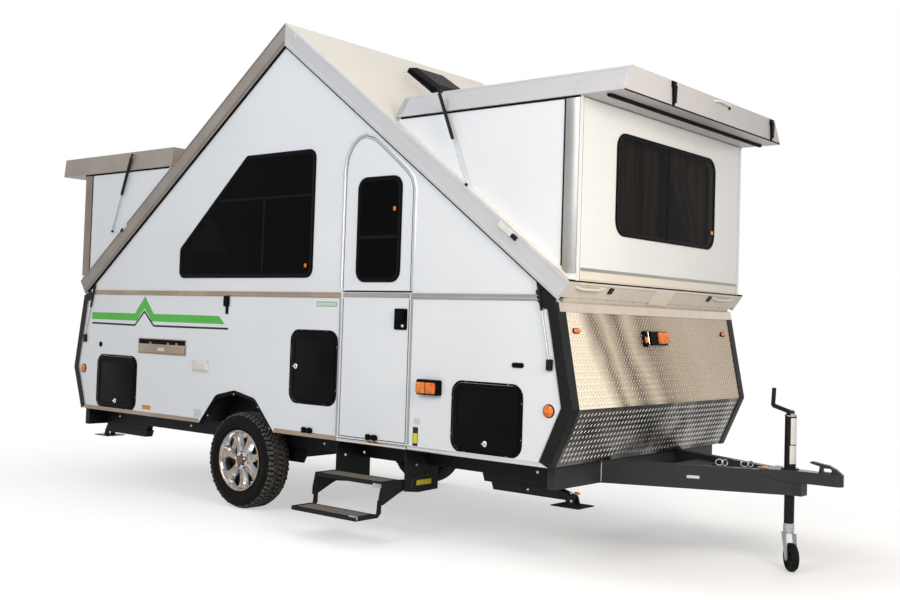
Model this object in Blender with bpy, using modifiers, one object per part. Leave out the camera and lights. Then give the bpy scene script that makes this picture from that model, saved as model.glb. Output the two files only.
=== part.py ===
"""A-frame folding camper trailer, raised for camping, with hard dormers front and rear.

Built with the axle at x = 0, the tongue towards +X and the door side at -Y. Heights are from a datum just
under the ground. The root empty then moves the whole so that the origin is the bottom centre of its box.
"""

import math

import bmesh
import bpy
from mathutils import Matrix, Vector

# Body box
HALF_W = 1.034          # body centre to the outer face of a side wall
WALL_T = 0.035          # composite side, nose and tail panels
FLOOR_Z = 0.562         # underside of the floor, foot of the side walls
FLOOR_T = 0.045
BELT_Z = 1.4876         # top of the door-side wall
KINK_Z = 0.876          # height of the knee in the nose and the tail
NOSE_TOP_Z = 1.440
NOSE_FOOT_X = 2.528
NOSE_KINK_X = 2.668
NOSE_TOP_X = 2.555
TAIL_FOOT_X = -1.886
TAIL_KINK_X = -2.005
TAIL_TOP_X = -1.905
WALL_TOP_FRONT_X = 2.500
WALL_TOP_REAR_X = -1.810
LEFT_RAISE = 0.045      # the far wall stands higher, so that its gable folds over the near one
FIT = 0.0005            # gap between pieces that are screwed or glued together
SWING = 0.005           # gap round a piece that swings
HINGE_GAP = 0.0004      # gap along its hinge line

# A-frame roof
APEX_X = 0.347
APEX_Z = 3.258
ROOF_RUN = 2.290        # apex to the lower end, along the floor
ROOF_SLOPE = math.radians(36.74)
ROOF_T = 0.045
ROOF_EDGE = 0.120       # depth of the edge flanges, square to the slope
ROOF_END_EDGE = 0.100   # depth of the end flange, which clears the walls' sloped corners
ROOF_EDGE_T = 0.012
ROOF_HALF_W = 1.052
RIDGE_GAP = 0.0002

# Gables
GABLE_T = 0.035
GABLE_GAP = 0.010       # gable edge to roof panel, square to the slope
GABLE_FRONT_X = 2.430
GABLE_REAR_X = -1.755
WINDOW_SLOPE_FOOT_Z = 1.775
WINDOW_REAR_X = -0.689
WINDOW_FRONT_X = 0.657
WINDOW_TOP_REAR_X = 0.000
WINDOW_FOOT_Z = 1.588
WINDOW_TOP_Z = 2.386
WINDOW_LIP = 0.016      # how far a window frame laps over the wall
WINDOW_PROUD = 0.005
WINDOW_T = 0.020

# Door
DOOR_REAR_X = 0.945
DOOR_FRONT_X = 1.520
DOOR_FOOT_Z = 0.585
DOOR_ARCH = [(1.520, 2.100), (1.502, 2.160), (1.462, 2.207), (1.250, 2.378), (1.180, 2.425), (1.110, 2.445),
             (1.050, 2.432), (1.000, 2.392), (0.962, 2.325), (0.945, 2.240)]
DOOR_T = 0.030
DOOR_WINDOW_REAR_X = 1.075
DOOR_WINDOW_FRONT_X = 1.410
DOOR_WINDOW_FOOT_Z = 1.560
DOOR_WINDOW_TOP_Z = 2.172

# Luggage hatches: name, hinged edge, rear x, front x, foot z, top z
HATCHES = [
    ("hatch_rear", "top", -1.675, -1.185, 0.598, 0.978),
    ("hatch_mid", "front", 0.505, 0.912, 0.780, 1.228),
    ("hatch_front", "top", 1.865, 2.338, 0.602, 0.978),
]
HATCH_T = 0.028
HATCH_RADIUS = 0.060

# Dormers
DORMER_T = 0.030
DORMER_SIDE_GAP = 0.006
FRONT_DORMER_X = 2.635  # outer face of the upright wall
REAR_DORMER_X = -1.941
FRONT_OUT_Y = 0.985     # outer face of a dormer side wall
REAR_OUT_Y = 1.040
FRONT_LID_Z = 2.545     # underside of the lid
REAR_LID_Z = 2.386
FRONT_LID_H = 0.145
REAR_LID_H = 0.139
LID_SKIN = 0.035
LID_SKIRT = 0.025
FRONT_LID_FOOT_Y = 1.000    # half width of the lid's foot and of its top
FRONT_LID_TOP_Y = 0.905
REAR_LID_FOOT_Y = 1.052
REAR_LID_TOP_Y = 1.040
FRONT_LID_X = 2.900
REAR_LID_X = -2.245
DORMER_SEAT = 0.0004
DORMER_HINGE_LIFT = 0.030   # dormer wall's foot above the roof plane
DORMER_WINDOW_HALF_W = 0.590
DORMER_WINDOW_FOOT = 0.232  # above the foot of the wall
DORMER_WINDOW_H = 0.552
REAR_WINDOW_H = 0.420
OPENING_HALF_W = 0.925

# Roof vent
VENT_X = 0.765
VENT_Y = 0.020
VENT_SIZE = 0.410       # flange
VENT_FLANGE_T = 0.007
VENT_CURB = 0.360       # curb and lid, square
VENT_HOLE = 0.340
VENT_CURB_H = 0.022
VENT_LID_T = 0.058
VENT_LID_EDGE = 0.034   # upright part of the lid's sides
VENT_OPEN = math.radians(2.5)

# Running gear
GROUND_Z = 0.020
TYRE_R = 0.322
AXLE_Z = GROUND_Z + TYRE_R
TYRE_W = 0.200
TYRE_SHOULDER_R = 0.303
TYRE_PROUD = 0.008      # how far the tyre stands out past the rim lip
RIM_R = 0.205
RIM_SEAT_R = 0.192
RIM_W = 0.165
WHEEL_FACE_Y = 1.020    # outer rim lip
SPOKES = 8
AXLE_TUBE_X = 0.230
AXLE_TUBE_Z = 0.400
AXLE_TUBE = 0.070
SHOE_REAR = 0.121       # axle shoe, behind and ahead of the tube
SHOE_FRONT = 0.201
ARM_CLEAR = 0.010       # trailing arm to the tyre's inner wall
SPINDLE_R = 0.020
ARCH = [(-0.415, FLOOR_Z), (-0.243, 0.765), (-0.050, 0.806), (0.157, 0.765), (0.350, FLOOR_Z)]
WELL_GAP = 0.014
WELL_T = 0.008

# Chassis
RAIL_OUT_Y = 0.805
RAIL_W = 0.050
RAIL_H = 0.108
CROSS_HALF = 0.930
RAIL_REAR_X = -1.870
CROSS_FRONT_X = 2.500
CROSS_T = 0.050
CROSS_H = 0.130
REAR_CROSS_HALF = 0.970
AXLE_CROSS_X = 0.430
MID_CROSS_X = 1.680
TONGUE_FOOT_Y = 0.470
TONGUE_HEAD_X = 3.450   # where the tongue rails stop converging
TONGUE_HEAD_Y = 0.040
TONGUE_END_X = 3.503
TONGUE_W = 0.050
TONGUE_H = 0.130
DECK_REAR_X = 2.720     # plate between the tongue rails
DECK_FRONT_X = 2.900
DECK_Z = 0.530
DECK_T = 0.004

# Stabilisers, stowed under the main rails
STABILISER_W = 0.060
STABILISER_MOUNT_L = 0.520
STABILISER_MOUNT_H = 0.046
STABILISER_ARM_L = 0.530
STABILISER_REACH_FRONT = 0.080   # arm's tip past its mount
STABILISER_REACH_REAR = 0.010
STABILISER_ARM_H = 0.040
STABILISER_WALL = 0.006
STABILISER_FOOT_L = 0.180
STABILISER_FOOT_W = 0.160
STABILISER_FOOT_Z = 0.335

# Coupler and jack
COUPLER_REAR_X = 3.300
COUPLER_TIP_X = 3.716
COUPLER_TOP_Z = 0.568
COUPLER_FOOT_Z = 0.503
COUPLER_T = 0.005
COUPLER_NECK_Y = 0.033
CUP_R = 0.036
SOCKET_R = 0.0262       # for a 50 mm ball
JACK_X = 3.420
JACK_TUBE_R = 0.0315
JACK_TOP_Z = 0.860
JACK_FOOT_Z = 0.435
JACK_LEG_R = 0.0275
JACK_FORK_TOP_Z = 0.275
FORK_R = 0.030
FORK_H = 0.052
CASTER_R = 0.077
CASTER_W = 0.040
CASTER_TRAIL = 0.043
CASTER_TURN = math.radians(-46.9)
CASTER_Z = GROUND_Z + CASTER_R

# Entry step: profile of the side plates in (outward, height)
STEP_REAR_X = 0.935
STEP_FRONT_X = 1.500
STEP_PLATE_T = 0.006
STEP_IN_Y = 0.720
STEP_PIVOT_Y = 1.000
STEP_PIVOT_Z = 0.345
STEP_KNEE_Y = 1.205
STEP_KNEE_Z = 0.268
STEP_UPPER_Z = 0.385
STEP_LOWER_Z = 0.205
STEP_TREAD_T = 0.022
STEP_TREAD_D = 0.165
STEP_OUT_Y = 1.400
PIN_R = 0.006
PIN_GAP = 0.0004

MATERIALS = {
    # name: colour, roughness, metallic
    "white_gelcoat": ((0.80, 0.83, 0.85), 0.25, 0.0),
    "mill_aluminium": ((0.62, 0.62, 0.63), 0.35, 1.0),
    "tread_plate": ((0.68, 0.66, 0.63), 0.30, 1.0),
    "black_frame_paint": ((0.030, 0.032, 0.034), 0.50, 0.0),
    "black_plastic": ((0.020, 0.020, 0.021), 0.40, 0.0),
    "tinted_glass": ((0.010, 0.011, 0.012), 0.06, 0.0),
    "alloy": ((0.72, 0.72, 0.73), 0.22, 1.0),
    "tyre_rubber": ((0.022, 0.022, 0.022), 0.85, 0.0),
    "zinc": ((0.55, 0.56, 0.57), 0.35, 1.0),
}

ROOT = "folding_camper_trailer"


def clear_scene():
    for obj in list(bpy.data.objects):
        bpy.data.objects.remove(obj, do_unlink=True)
    for collection in list(bpy.data.collections):
        bpy.data.collections.remove(collection)


def collection_named(name, hidden=False):
    made = bpy.data.collections.new(name)
    bpy.context.scene.collection.children.link(made)
    made.hide_render = hidden
    return made


clear_scene()
PARTS = collection_named(ROOT)
CUTTERS = collection_named("cutters", hidden=True)
root = bpy.data.objects.new(ROOT + "_root", None)
PARTS.objects.link(root)


def material(kind, node):
    colour, rough, metal = MATERIALS[kind]
    made = bpy.data.materials.new(node + "_" + kind)
    made.use_nodes = True
    shader = made.node_tree.nodes["Principled BSDF"]
    shader.inputs["Base Color"].default_value = (*colour, 1.0)
    shader.inputs["Roughness"].default_value = rough
    shader.inputs["Metallic"].default_value = metal
    return made


def finished(shape):
    """The mesh of a bmesh, with its normals made to point outwards."""
    bmesh.ops.recalc_face_normals(shape, faces=shape.faces)
    mesh = bpy.data.meshes.new("solid")
    shape.to_mesh(mesh)
    shape.free()
    return mesh


def prism(outline, low, high, axis="y"):
    """The outline pulled from low to high along an axis. Outline is (x, z), (y, z) or (x, y)."""
    place = {
        "x": lambda a, b, d: (d, a, b),
        "y": lambda a, b, d: (a, d, b),
        "z": lambda a, b, d: (a, b, d),
    }[axis]
    shape = bmesh.new()
    face = shape.faces.new([shape.verts.new(place(a, b, low)) for a, b in outline])
    pulled = bmesh.ops.extrude_face_region(shape, geom=[face])["geom"]
    moved = [item for item in pulled if isinstance(item, bmesh.types.BMVert)]
    bmesh.ops.translate(shape, verts=moved, vec=place(0, 0, high - low))
    return finished(shape)


def box(low, high):
    """A cube stretched between two opposite corners."""
    low, high = Vector(low), Vector(high)
    middle = Matrix.Translation((low + high) / 2)
    stretch = Matrix.Diagonal((*(high - low), 1.0))
    shape = bmesh.new()
    bmesh.ops.create_cube(shape, size=1.0, matrix=middle @ stretch)
    return finished(shape)


def rounded(points, radius, steps=5):
    """The polygon with each corner turned into an arc. Radius is one value or one per corner."""
    made = []
    count = len(points)
    radii = radius if isinstance(radius, (list, tuple)) else [radius] * count
    for i, here in enumerate(points):
        here = Vector(here)
        before = (Vector(points[i - 1]) - here).normalized()
        after = (Vector(points[(i + 1) % count]) - here).normalized()
        if radii[i] <= 0:
            made.append(tuple(here))
            continue
        half = before.angle(after) / 2
        reach = radii[i] / math.tan(half)
        centre = here + (before + after).normalized() * (radii[i] / math.sin(half))
        start = here + before * reach - centre
        end = here + after * reach - centre
        turn = math.atan2(start.x * end.y - start.y * end.x, start.dot(end))
        for k in range(steps + 1):
            part = turn * k / steps
            cos, sin = math.cos(part), math.sin(part)
            made.append((centre.x + start.x * cos - start.y * sin, centre.y + start.x * sin + start.y * cos))
    return made


def rectangle(x0, x1, z0, z1, radius=0.0, steps=5):
    corners = [(x0, z0), (x1, z0), (x1, z1), (x0, z1)]
    return rounded(corners, radius, steps) if radius else corners


def revolve(profile, steps, centre, axis="y", closed=True):
    """A body turned from (radius, along) points about an axis through the centre.

    A closed profile makes a ring. An open one is closed by a flat face at each end.
    """
    count = len(profile)
    line = bpy.data.meshes.new("profile")
    edges = [(k, (k + 1) % count) for k in range(count if closed else count - 1)]
    line.from_pydata([(radius, 0, along) for radius, along in profile], edges, [])
    lathe = bpy.data.objects.new("lathe", line)
    CUTTERS.objects.link(lathe)
    screw = lathe.modifiers.new("turn", "SCREW")
    screw.axis = "Z"
    screw.steps = screw.render_steps = steps
    screw.use_merge_vertices = True
    screw.merge_threshold = 0.00001
    bpy.context.view_layer.update()
    turned = bpy.data.meshes.new_from_object(lathe.evaluated_get(bpy.context.evaluated_depsgraph_get()))
    bpy.data.objects.remove(lathe, do_unlink=True)
    shape = bmesh.new()
    shape.from_mesh(turned)
    if not closed:
        bmesh.ops.holes_fill(shape, edges=[edge for edge in shape.edges if edge.is_boundary])
    mesh = finished(shape)
    upright = {"z": Vector((0, 0, 1)), "y": Vector((0, 1, 0)), "x": Vector((1, 0, 0))}[axis]
    turn = Vector((0, 0, 1)).rotation_difference(upright).to_matrix().to_4x4()
    mesh.transform(Matrix.Translation(centre) @ turn)
    return mesh


def rod(start, end, radius, steps=24):
    """A round bar between two points."""
    start, end = Vector(start), Vector(end)
    along = end - start
    turn = Vector((0, 0, 1)).rotation_difference(along).to_matrix().to_4x4()
    shape = bmesh.new()
    bmesh.ops.create_cone(shape, cap_ends=True, segments=steps, radius1=radius, radius2=radius,
                          depth=along.length, matrix=Matrix.Translation((start + end) / 2) @ turn)
    return finished(shape)


def hull(points):
    """The convex body round some points."""
    shape = bmesh.new()
    for point in points:
        shape.verts.new(point)
    bmesh.ops.convex_hull(shape, input=shape.verts)
    return finished(shape)


def node(name, mesh, kind, parent=None):
    made = bpy.data.objects.new(name, mesh)
    mesh.name = name
    mesh.materials.append(material(kind, name))
    PARTS.objects.link(made)
    attach(made, parent or root)
    return made


def attach(obj, parent):
    obj.parent = parent
    obj.matrix_parent_inverse = parent.matrix_world.inverted()


def helper(name, mesh, parent):
    made = bpy.data.objects.new(name, mesh)
    made.display_type = "WIRE"
    made.hide_render = True
    CUTTERS.objects.link(made)
    attach(made, parent)
    return made


def boolean(target, mesh, operation, name):
    other = helper(f"{target.name}_{name}", mesh, target.parent)
    modifier = target.modifiers.new(name, "BOOLEAN")
    modifier.operation = operation
    modifier.solver = "EXACT"
    modifier.object = other
    return other


def cut(target, mesh, name):
    return boolean(target, mesh, "DIFFERENCE", name)


def join(target, mesh, name):
    return boolean(target, mesh, "UNION", name)


def pivot(name, place, parent=None):
    """An empty on a joint's axis, which the moving pieces hang from."""
    made = bpy.data.objects.new("axis_" + name, None)
    made.empty_display_size = 0.1
    PARTS.objects.link(made)
    made.location = place
    bpy.context.view_layer.update()
    made.parent = parent or root
    bpy.context.view_layer.update()
    made.matrix_parent_inverse = (parent or root).matrix_world.inverted()
    bpy.context.view_layer.update()
    return made


# Roof lines
SLOPE = math.tan(ROOF_SLOPE)
PER_UPRIGHT = 1 / math.cos(ROOF_SLOPE)   # upright distance for one unit square to the slope
COS, SIN = math.cos(ROOF_SLOPE), math.sin(ROOF_SLOPE)
FRONT, REAR = 1, -1


def roof_z(x, depth=0.0):
    """Height of the roof's top plane at x, or of the plane that lies the depth below it."""
    return APEX_Z - SLOPE * abs(x - APEX_X) - depth * PER_UPRIGHT


def roof_x(z, side, depth=0.0):
    """Where the roof's top plane, or the plane the depth below it, is at this height."""
    return APEX_X + side * (APEX_Z - z - depth * PER_UPRIGHT) / SLOPE


def roof_point(run, depth, side):
    """(x, z) at the distance run from the apex along the floor, the depth square below the top plane."""
    return (APEX_X + side * (run - depth * SIN), APEX_Z - SLOPE * run - depth * COS)


def wall_outline(top_z, raise_by):
    return [
        (TAIL_FOOT_X, FLOOR_Z),
        (NOSE_FOOT_X, FLOOR_Z),
        (NOSE_KINK_X, KINK_Z),
        (NOSE_TOP_X, NOSE_TOP_Z),
        (WALL_TOP_FRONT_X - raise_by, top_z),
        (WALL_TOP_REAR_X + raise_by, top_z),
        (TAIL_TOP_X, NOSE_TOP_Z),
        (TAIL_KINK_X, KINK_Z),
    ]


IN_Y = HALF_W - WALL_T


def side_walls():
    """The door-side wall in two panels, one each side of the door, and the far wall in one."""
    outline = wall_outline(BELT_Z, 0.0)
    split = [
        ("wall_right_rear", TAIL_KINK_X - 0.1, DOOR_REAR_X - HINGE_GAP),
        ("wall_right_front", DOOR_FRONT_X + SWING, NOSE_KINK_X + 0.1),
    ]
    made = {}
    for name, rear_x, front_x in split:
        panel = node(name, prism(outline, -HALF_W, -IN_Y), "white_gelcoat")
        away = (front_x, NOSE_KINK_X + 0.2) if rear_x < TAIL_KINK_X else (TAIL_KINK_X - 0.2, rear_x)
        cut(panel, box((away[0], -HALF_W - 0.1, 0.3), (away[1], -IN_Y + 0.1, 2.0)), "door_gap")
        made[name] = panel
    far = node("wall_left", prism(wall_outline(BELT_Z + LEFT_RAISE, 0.03), IN_Y, HALF_W), "white_gelcoat")
    near = made["wall_right_rear"]
    for panel, low, high in ((near, -HALF_W - 0.1, -IN_Y + 0.1), (far, IN_Y - 0.1, HALF_W + 0.1)):
        arch = [(ARCH[0][0], FLOOR_Z - 0.1)] + ARCH + [(ARCH[-1][0], FLOOR_Z - 0.1)]
        cut(panel, prism(rounded(arch, [0, 0, 0.08, 0.08, 0.08, 0, 0], 4), low, high), "arch")
    for name, hinge, rear_x, front_x, foot_z, top_z in HATCHES:
        panel = made["wall_right_rear"] if front_x < DOOR_REAR_X else made["wall_right_front"]
        above = HINGE_GAP if hinge == "top" else SWING
        ahead = HINGE_GAP if hinge == "front" else SWING
        hole = rectangle(rear_x - SWING, front_x + ahead, foot_z - SWING, top_z + above,
                         HATCH_RADIUS + HINGE_GAP)
        cut(panel, prism(hole, -HALF_W - 0.1, -IN_Y + 0.1), name + "_hole")
    return made, far


def end_panels():
    """The kneed nose and tail between the side walls."""
    half = IN_Y - FIT
    table = [
        ("nose", "tread_plate", NOSE_FOOT_X, NOSE_KINK_X, NOSE_TOP_X, FRONT),
        ("tail", "white_gelcoat", TAIL_FOOT_X, TAIL_KINK_X, TAIL_TOP_X, REAR),
    ]
    for name, kind, foot_x, kink_x, top_x, side in table:
        inner = side * WALL_T
        outline = [
            (foot_x, FLOOR_Z), (kink_x, KINK_Z), (top_x, NOSE_TOP_Z),
            (top_x - inner, NOSE_TOP_Z), (kink_x - inner * 1.1, KINK_Z), (foot_x - inner, FLOOR_Z),
        ]
        node(name, prism(outline, -half, half), kind)


def floor_pan():
    """The floor panel with a box over each wheel."""
    half = IN_Y - FIT
    rear_x, front_x = TAIL_FOOT_X + WALL_T + FIT, NOSE_FOOT_X - WALL_T - FIT
    pan = node("floor", box((rear_x, -half, FLOOR_Z), (front_x, half, FLOOR_Z + FLOOR_T)), "black_plastic")
    low_z = FLOOR_Z - 0.1
    inner = [(ARCH[0][0] - WELL_GAP, low_z), (ARCH[0][0] - WELL_GAP, FLOOR_Z)]
    inner += [(x, z + WELL_GAP) for x, z in ARCH[1:-1]]
    inner += [(ARCH[-1][0] + WELL_GAP, FLOOR_Z), (ARCH[-1][0] + WELL_GAP, low_z)]
    centre_x = (ARCH[0][0] + ARCH[-1][0]) / 2
    outer = [(x + math.copysign(WELL_T, x - centre_x), z + WELL_T) for x, z in inner]
    outer[0], outer[-1] = (outer[0][0], FLOOR_Z + 0.004), (outer[-1][0], FLOOR_Z + 0.004)
    del outer[1], outer[-2]
    for side, name in ((-1, "right"), (1, "left")):
        near, far = sorted((side * half, side * (RAIL_OUT_Y - WELL_T)))
        join(pan, prism(outer, near, far), "well_" + name)
        near, far = sorted((side * (half + 0.1), side * RAIL_OUT_Y))
        cut(pan, prism(inner, near, far), "well_hollow_" + name)


def roof_half(name, side):
    """One roof half: a flat panel with edge flanges and the dormer's opening."""
    top_in, low_in = roof_point(ROOF_RUN, 0, side), roof_point(ROOF_RUN, ROOF_EDGE, side)
    ridge = APEX_X + side * RIDGE_GAP
    outer = [
        (ridge, roof_z(ridge)), top_in, low_in,
        (ridge, roof_z(ridge, ROOF_EDGE)),
    ]
    panel = node(name, prism(outer, -ROOF_HALF_W, ROOF_HALF_W), "white_gelcoat")
    inner_half = ROOF_HALF_W - ROOF_EDGE_T
    run = ROOF_RUN - ROOF_EDGE_T * PER_UPRIGHT * COS * COS
    hollow = [
        (APEX_X - side * 0.05, APEX_Z - ROOF_T * PER_UPRIGHT + SLOPE * 0.05),
        roof_point(run, ROOF_T, side), roof_point(run, ROOF_END_EDGE, side),
        roof_point(ROOF_RUN + 0.05, ROOF_END_EDGE, side), roof_point(ROOF_RUN + 0.05, ROOF_EDGE + 0.05, side),
        (APEX_X - side * 0.05, APEX_Z - (ROOF_EDGE + 0.05) * PER_UPRIGHT + SLOPE * 0.05),
    ]
    cut(panel, prism(hollow, -inner_half, inner_half), "hollow")
    lip = roof_point(ROOF_RUN - 0.004, ROOF_END_EDGE - 0.002, side)
    inner = roof_point(run + 0.002, ROOF_END_EDGE - 0.008, side)
    end_x = NOSE_TOP_X if side == FRONT else TAIL_TOP_X
    seat_z = NOSE_TOP_Z + HINGE_GAP
    heel_x = end_x - side * (WALL_T - 0.004)
    gutter = [lip, inner, (heel_x, seat_z + 0.006), (heel_x, seat_z), (end_x - side * 0.004, seat_z)]
    join(panel, prism(gutter, -IN_Y + 0.012, IN_Y - 0.012), "hinge_gutter")
    return panel


DORMERS = {
    # side: end wall, side wall's face, window height, lid's end, underside, height,
    # half width of its foot and of its top
    FRONT: (FRONT_DORMER_X, FRONT_OUT_Y, DORMER_WINDOW_H, FRONT_LID_X, FRONT_LID_Z, FRONT_LID_H,
            FRONT_LID_FOOT_Y, FRONT_LID_TOP_Y),
    REAR: (REAR_DORMER_X, REAR_OUT_Y, REAR_WINDOW_H, REAR_LID_X, REAR_LID_Z, REAR_LID_H,
           REAR_LID_FOOT_Y, REAR_LID_TOP_Y),
}


def dormer(side, roof):
    """Lid, two side walls and the folding upright wall of one dormer."""
    tag = "front" if side == FRONT else "rear"
    wall_x, out_y, window_h, lid_x, lid_z, lid_h, foot_y, top_y = DORMERS[side]
    start_x = roof_x(lid_z, side)
    inner_x = wall_x - side * DORMER_T
    hole_low = abs(inner_x - side * 0.035 - APEX_X)
    hole_high = abs(start_x + side * 0.045 - APEX_X)
    hole = [roof_point(hole_high, -0.05, side), roof_point(hole_low, -0.05, side),
            roof_point(hole_low, ROOF_T + 0.02, side), roof_point(hole_high, ROOF_T + 0.02, side)]
    cut(roof, prism(hole, -OPENING_HALF_W, OPENING_HALF_W), "dormer_opening")

    top_z = lid_z - DORMER_SEAT
    lift = DORMER_SEAT * PER_UPRIGHT
    low_x = start_x + side * 0.030
    outline = [(low_x, roof_z(low_x) + lift), (wall_x, roof_z(wall_x) + lift)]
    outline += [(wall_x, top_z), (low_x, top_z)]
    for sign, hand in ((-1, "right"), (1, "left")):
        near, far = sorted((sign * out_y, sign * (out_y - DORMER_T)))
        node(f"dormer_{tag}_side_{hand}", prism(outline, near, far), "white_gelcoat")

    start_x += side * 0.006
    high_z = lid_z + lid_h
    section = [(foot_y, lid_z), (top_y, high_z), (-top_y, high_z), (-foot_y, lid_z)]
    verts = [(x, y, z) for x in (start_x, lid_x) for y, z in section]
    lid = node("dormer_lid_" + tag, hull(verts), "white_gelcoat")
    void_y = top_y - LID_SKIRT
    ends = sorted((start_x + side * LID_SKIRT, lid_x - side * LID_SKIRT))
    cut(lid, box((ends[0], -void_y, lid_z + LID_SKIN), (ends[1], void_y, high_z - LID_SKIN)), "void")
    ends = sorted((start_x + side * LID_SKIRT * 2, inner_x - side * 0.030))
    mouth_z = lid_z + LID_SKIN + 0.02
    cut(lid, box((ends[0], -void_y + 0.01, lid_z - 0.1), (ends[1], void_y - 0.01, mouth_z)), "mouth")

    foot_z = roof_z(inner_x) + DORMER_HINGE_LIFT * PER_UPRIGHT
    axis = pivot(f"dormer_{tag}_wall", (inner_x, 0, foot_z))
    half = out_y - DORMER_T - DORMER_SIDE_GAP
    sill_x = inner_x - side * 0.012
    sill = [(sill_x, roof_z(sill_x, 0.010)), (sill_x, roof_z(sill_x, -0.010)), (inner_x, foot_z - HINGE_GAP),
            (wall_x, foot_z - HINGE_GAP), (wall_x, roof_z(wall_x, 0.010))]
    join(roof, prism(sill, -half, half), "dormer_sill")
    ends = sorted((inner_x, wall_x))
    wall = box((ends[0], -half, foot_z), (ends[1], half, lid_z - SWING))
    wall = node(f"dormer_{tag}_wall", wall, "white_gelcoat", axis)
    low_z = foot_z + DORMER_WINDOW_FOOT
    opening = rectangle(-DORMER_WINDOW_HALF_W, DORMER_WINDOW_HALF_W, low_z, low_z + window_h)
    window(f"dormer_{tag}_window", opening, [0.075] * 4, wall, "x", wall_x, side, DORMER_T)


def window(name, corners, radii, wall, axis, face, outward, wall_t):
    """A framed pane: a lip over the wall's outer face and a plug through its hole."""
    hole = rounded(corners, radii)
    plug = inset(corners, radii, FIT)
    lip = inset(corners, radii, -WINDOW_LIP)
    low, high = sorted((face + outward * 0.1, face - outward * (wall_t + 0.1)))
    cut(wall, prism(hole, low, high, axis), name + "_hole")
    outer = face + outward * WINDOW_PROUD
    seat = face + outward * FIT
    low, high = sorted((outer, seat))
    pane = node(name, prism(lip, low, high, axis), "tinted_glass", wall.parent)
    low, high = sorted((face + outward * WINDOW_PROUD * 0.5, face - outward * WINDOW_T))
    join(pane, prism(plug, low, high, axis), "plug")
    return pane


def inset(corners, radii, by):
    """The rounded polygon moved inwards by a distance, or outwards where it is negative."""
    count = len(corners)
    area = sum(corners[i - 1][0] * corners[i][1] - corners[i][0] * corners[i - 1][1] for i in range(count))
    turn = 1 if area > 0 else -1
    moved = []
    for i, here in enumerate(corners):
        here = Vector(here)
        before = (here - Vector(corners[i - 1])).normalized()
        after = (Vector(corners[(i + 1) % count]) - here).normalized()
        normal_a = Vector((-before.y, before.x)) * turn
        normal_b = Vector((-after.y, after.x)) * turn
        across = normal_a + normal_b
        moved.append(tuple(here + across * (by / (1 + normal_a.dot(normal_b)))))
    return rounded(moved, [max(r - by, 0.001) for r in radii])


def gable_outline(foot_z):
    depth = ROOF_T + GABLE_GAP
    return [
        (GABLE_REAR_X, foot_z), (GABLE_FRONT_X, foot_z), (GABLE_FRONT_X, roof_z(GABLE_FRONT_X, depth)),
        (APEX_X, roof_z(APEX_X, depth)), (GABLE_REAR_X, roof_z(GABLE_REAR_X, depth)),
    ]


WINDOW_CORNERS = [
    (WINDOW_REAR_X, WINDOW_FOOT_Z), (WINDOW_FRONT_X, WINDOW_FOOT_Z), (WINDOW_FRONT_X, WINDOW_TOP_Z),
    (WINDOW_TOP_REAR_X, WINDOW_TOP_Z), (WINDOW_REAR_X, WINDOW_SLOPE_FOOT_Z),
]
WINDOW_RADII = [0.035, 0.045, 0.045, 0.030, 0.030]


def gables():
    """The two gable walls that fold inwards about the belt, and the upper door in the near one."""
    foot_z = BELT_Z + HINGE_GAP
    right_axis = pivot("gable_right", (APEX_X, -HALF_W + GABLE_T, foot_z))
    right = prism(gable_outline(foot_z), -HALF_W, -HALF_W + GABLE_T)
    right = node("gable_right", right, "white_gelcoat", right_axis)
    window("gable_window_right", WINDOW_CORNERS, WINDOW_RADII, right, "y", -HALF_W, -1, GABLE_T)
    left_foot = foot_z + LEFT_RAISE
    left_axis = pivot("gable_left", (APEX_X, HALF_W - GABLE_T, left_foot))
    left = prism(gable_outline(left_foot), HALF_W - GABLE_T, HALF_W)
    left = node("gable_left", left, "white_gelcoat", left_axis)
    window("gable_window_left", WINDOW_CORNERS, WINDOW_RADII, left, "y", HALF_W, 1, GABLE_T)

    door_foot = foot_z + SWING
    edge = [(DOOR_REAR_X, door_foot), (DOOR_FRONT_X, door_foot)] + DOOR_ARCH
    gap = [(DOOR_REAR_X - HINGE_GAP, foot_z - 0.1), (DOOR_FRONT_X + SWING, foot_z - 0.1)]
    gap += grown(DOOR_ARCH, SWING)
    hinge_top = DOOR_ARCH[-1][1] - 0.030
    gap += [(DOOR_REAR_X - SWING, hinge_top), (DOOR_REAR_X - HINGE_GAP, hinge_top - SWING)]
    cut(right, prism(gap, -HALF_W - 0.1, -HALF_W + GABLE_T + 0.1), "door_gap")
    door_axis = pivot("door_upper", (DOOR_REAR_X, -HALF_W, door_foot), right_axis)
    upper = node("door_upper", prism(edge, -HALF_W, -HALF_W + DOOR_T), "white_gelcoat", door_axis)
    corners = rectangle(DOOR_WINDOW_REAR_X, DOOR_WINDOW_FRONT_X, DOOR_WINDOW_FOOT_Z, DOOR_WINDOW_TOP_Z)
    window("door_window", corners, [0.055] * 4, upper, "y", -HALF_W, -1, DOOR_T)

    lower_axis = pivot("door_lower", (DOOR_REAR_X, -HALF_W, DOOR_FOOT_Z))
    top_z = BELT_Z - SWING
    node("door_lower", box((DOOR_REAR_X, -HALF_W, DOOR_FOOT_Z), (DOOR_FRONT_X, -HALF_W + DOOR_T, top_z)),
         "white_gelcoat", lower_axis)


def grown(points, by):
    """An open run of points moved outwards, to its left hand side when it runs backwards over an arch."""
    made = []
    for i, here in enumerate(points):
        here = Vector(here)
        before = Vector(points[i - 1]) if i else here + Vector((0, -1))
        after = Vector(points[i + 1]) if i + 1 < len(points) else here + Vector((0, -1))
        along = (here - before).normalized() + (after - here).normalized()
        along.normalize()
        made.append((here.x + along.y * by, here.y - along.x * by))
    return made


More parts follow.
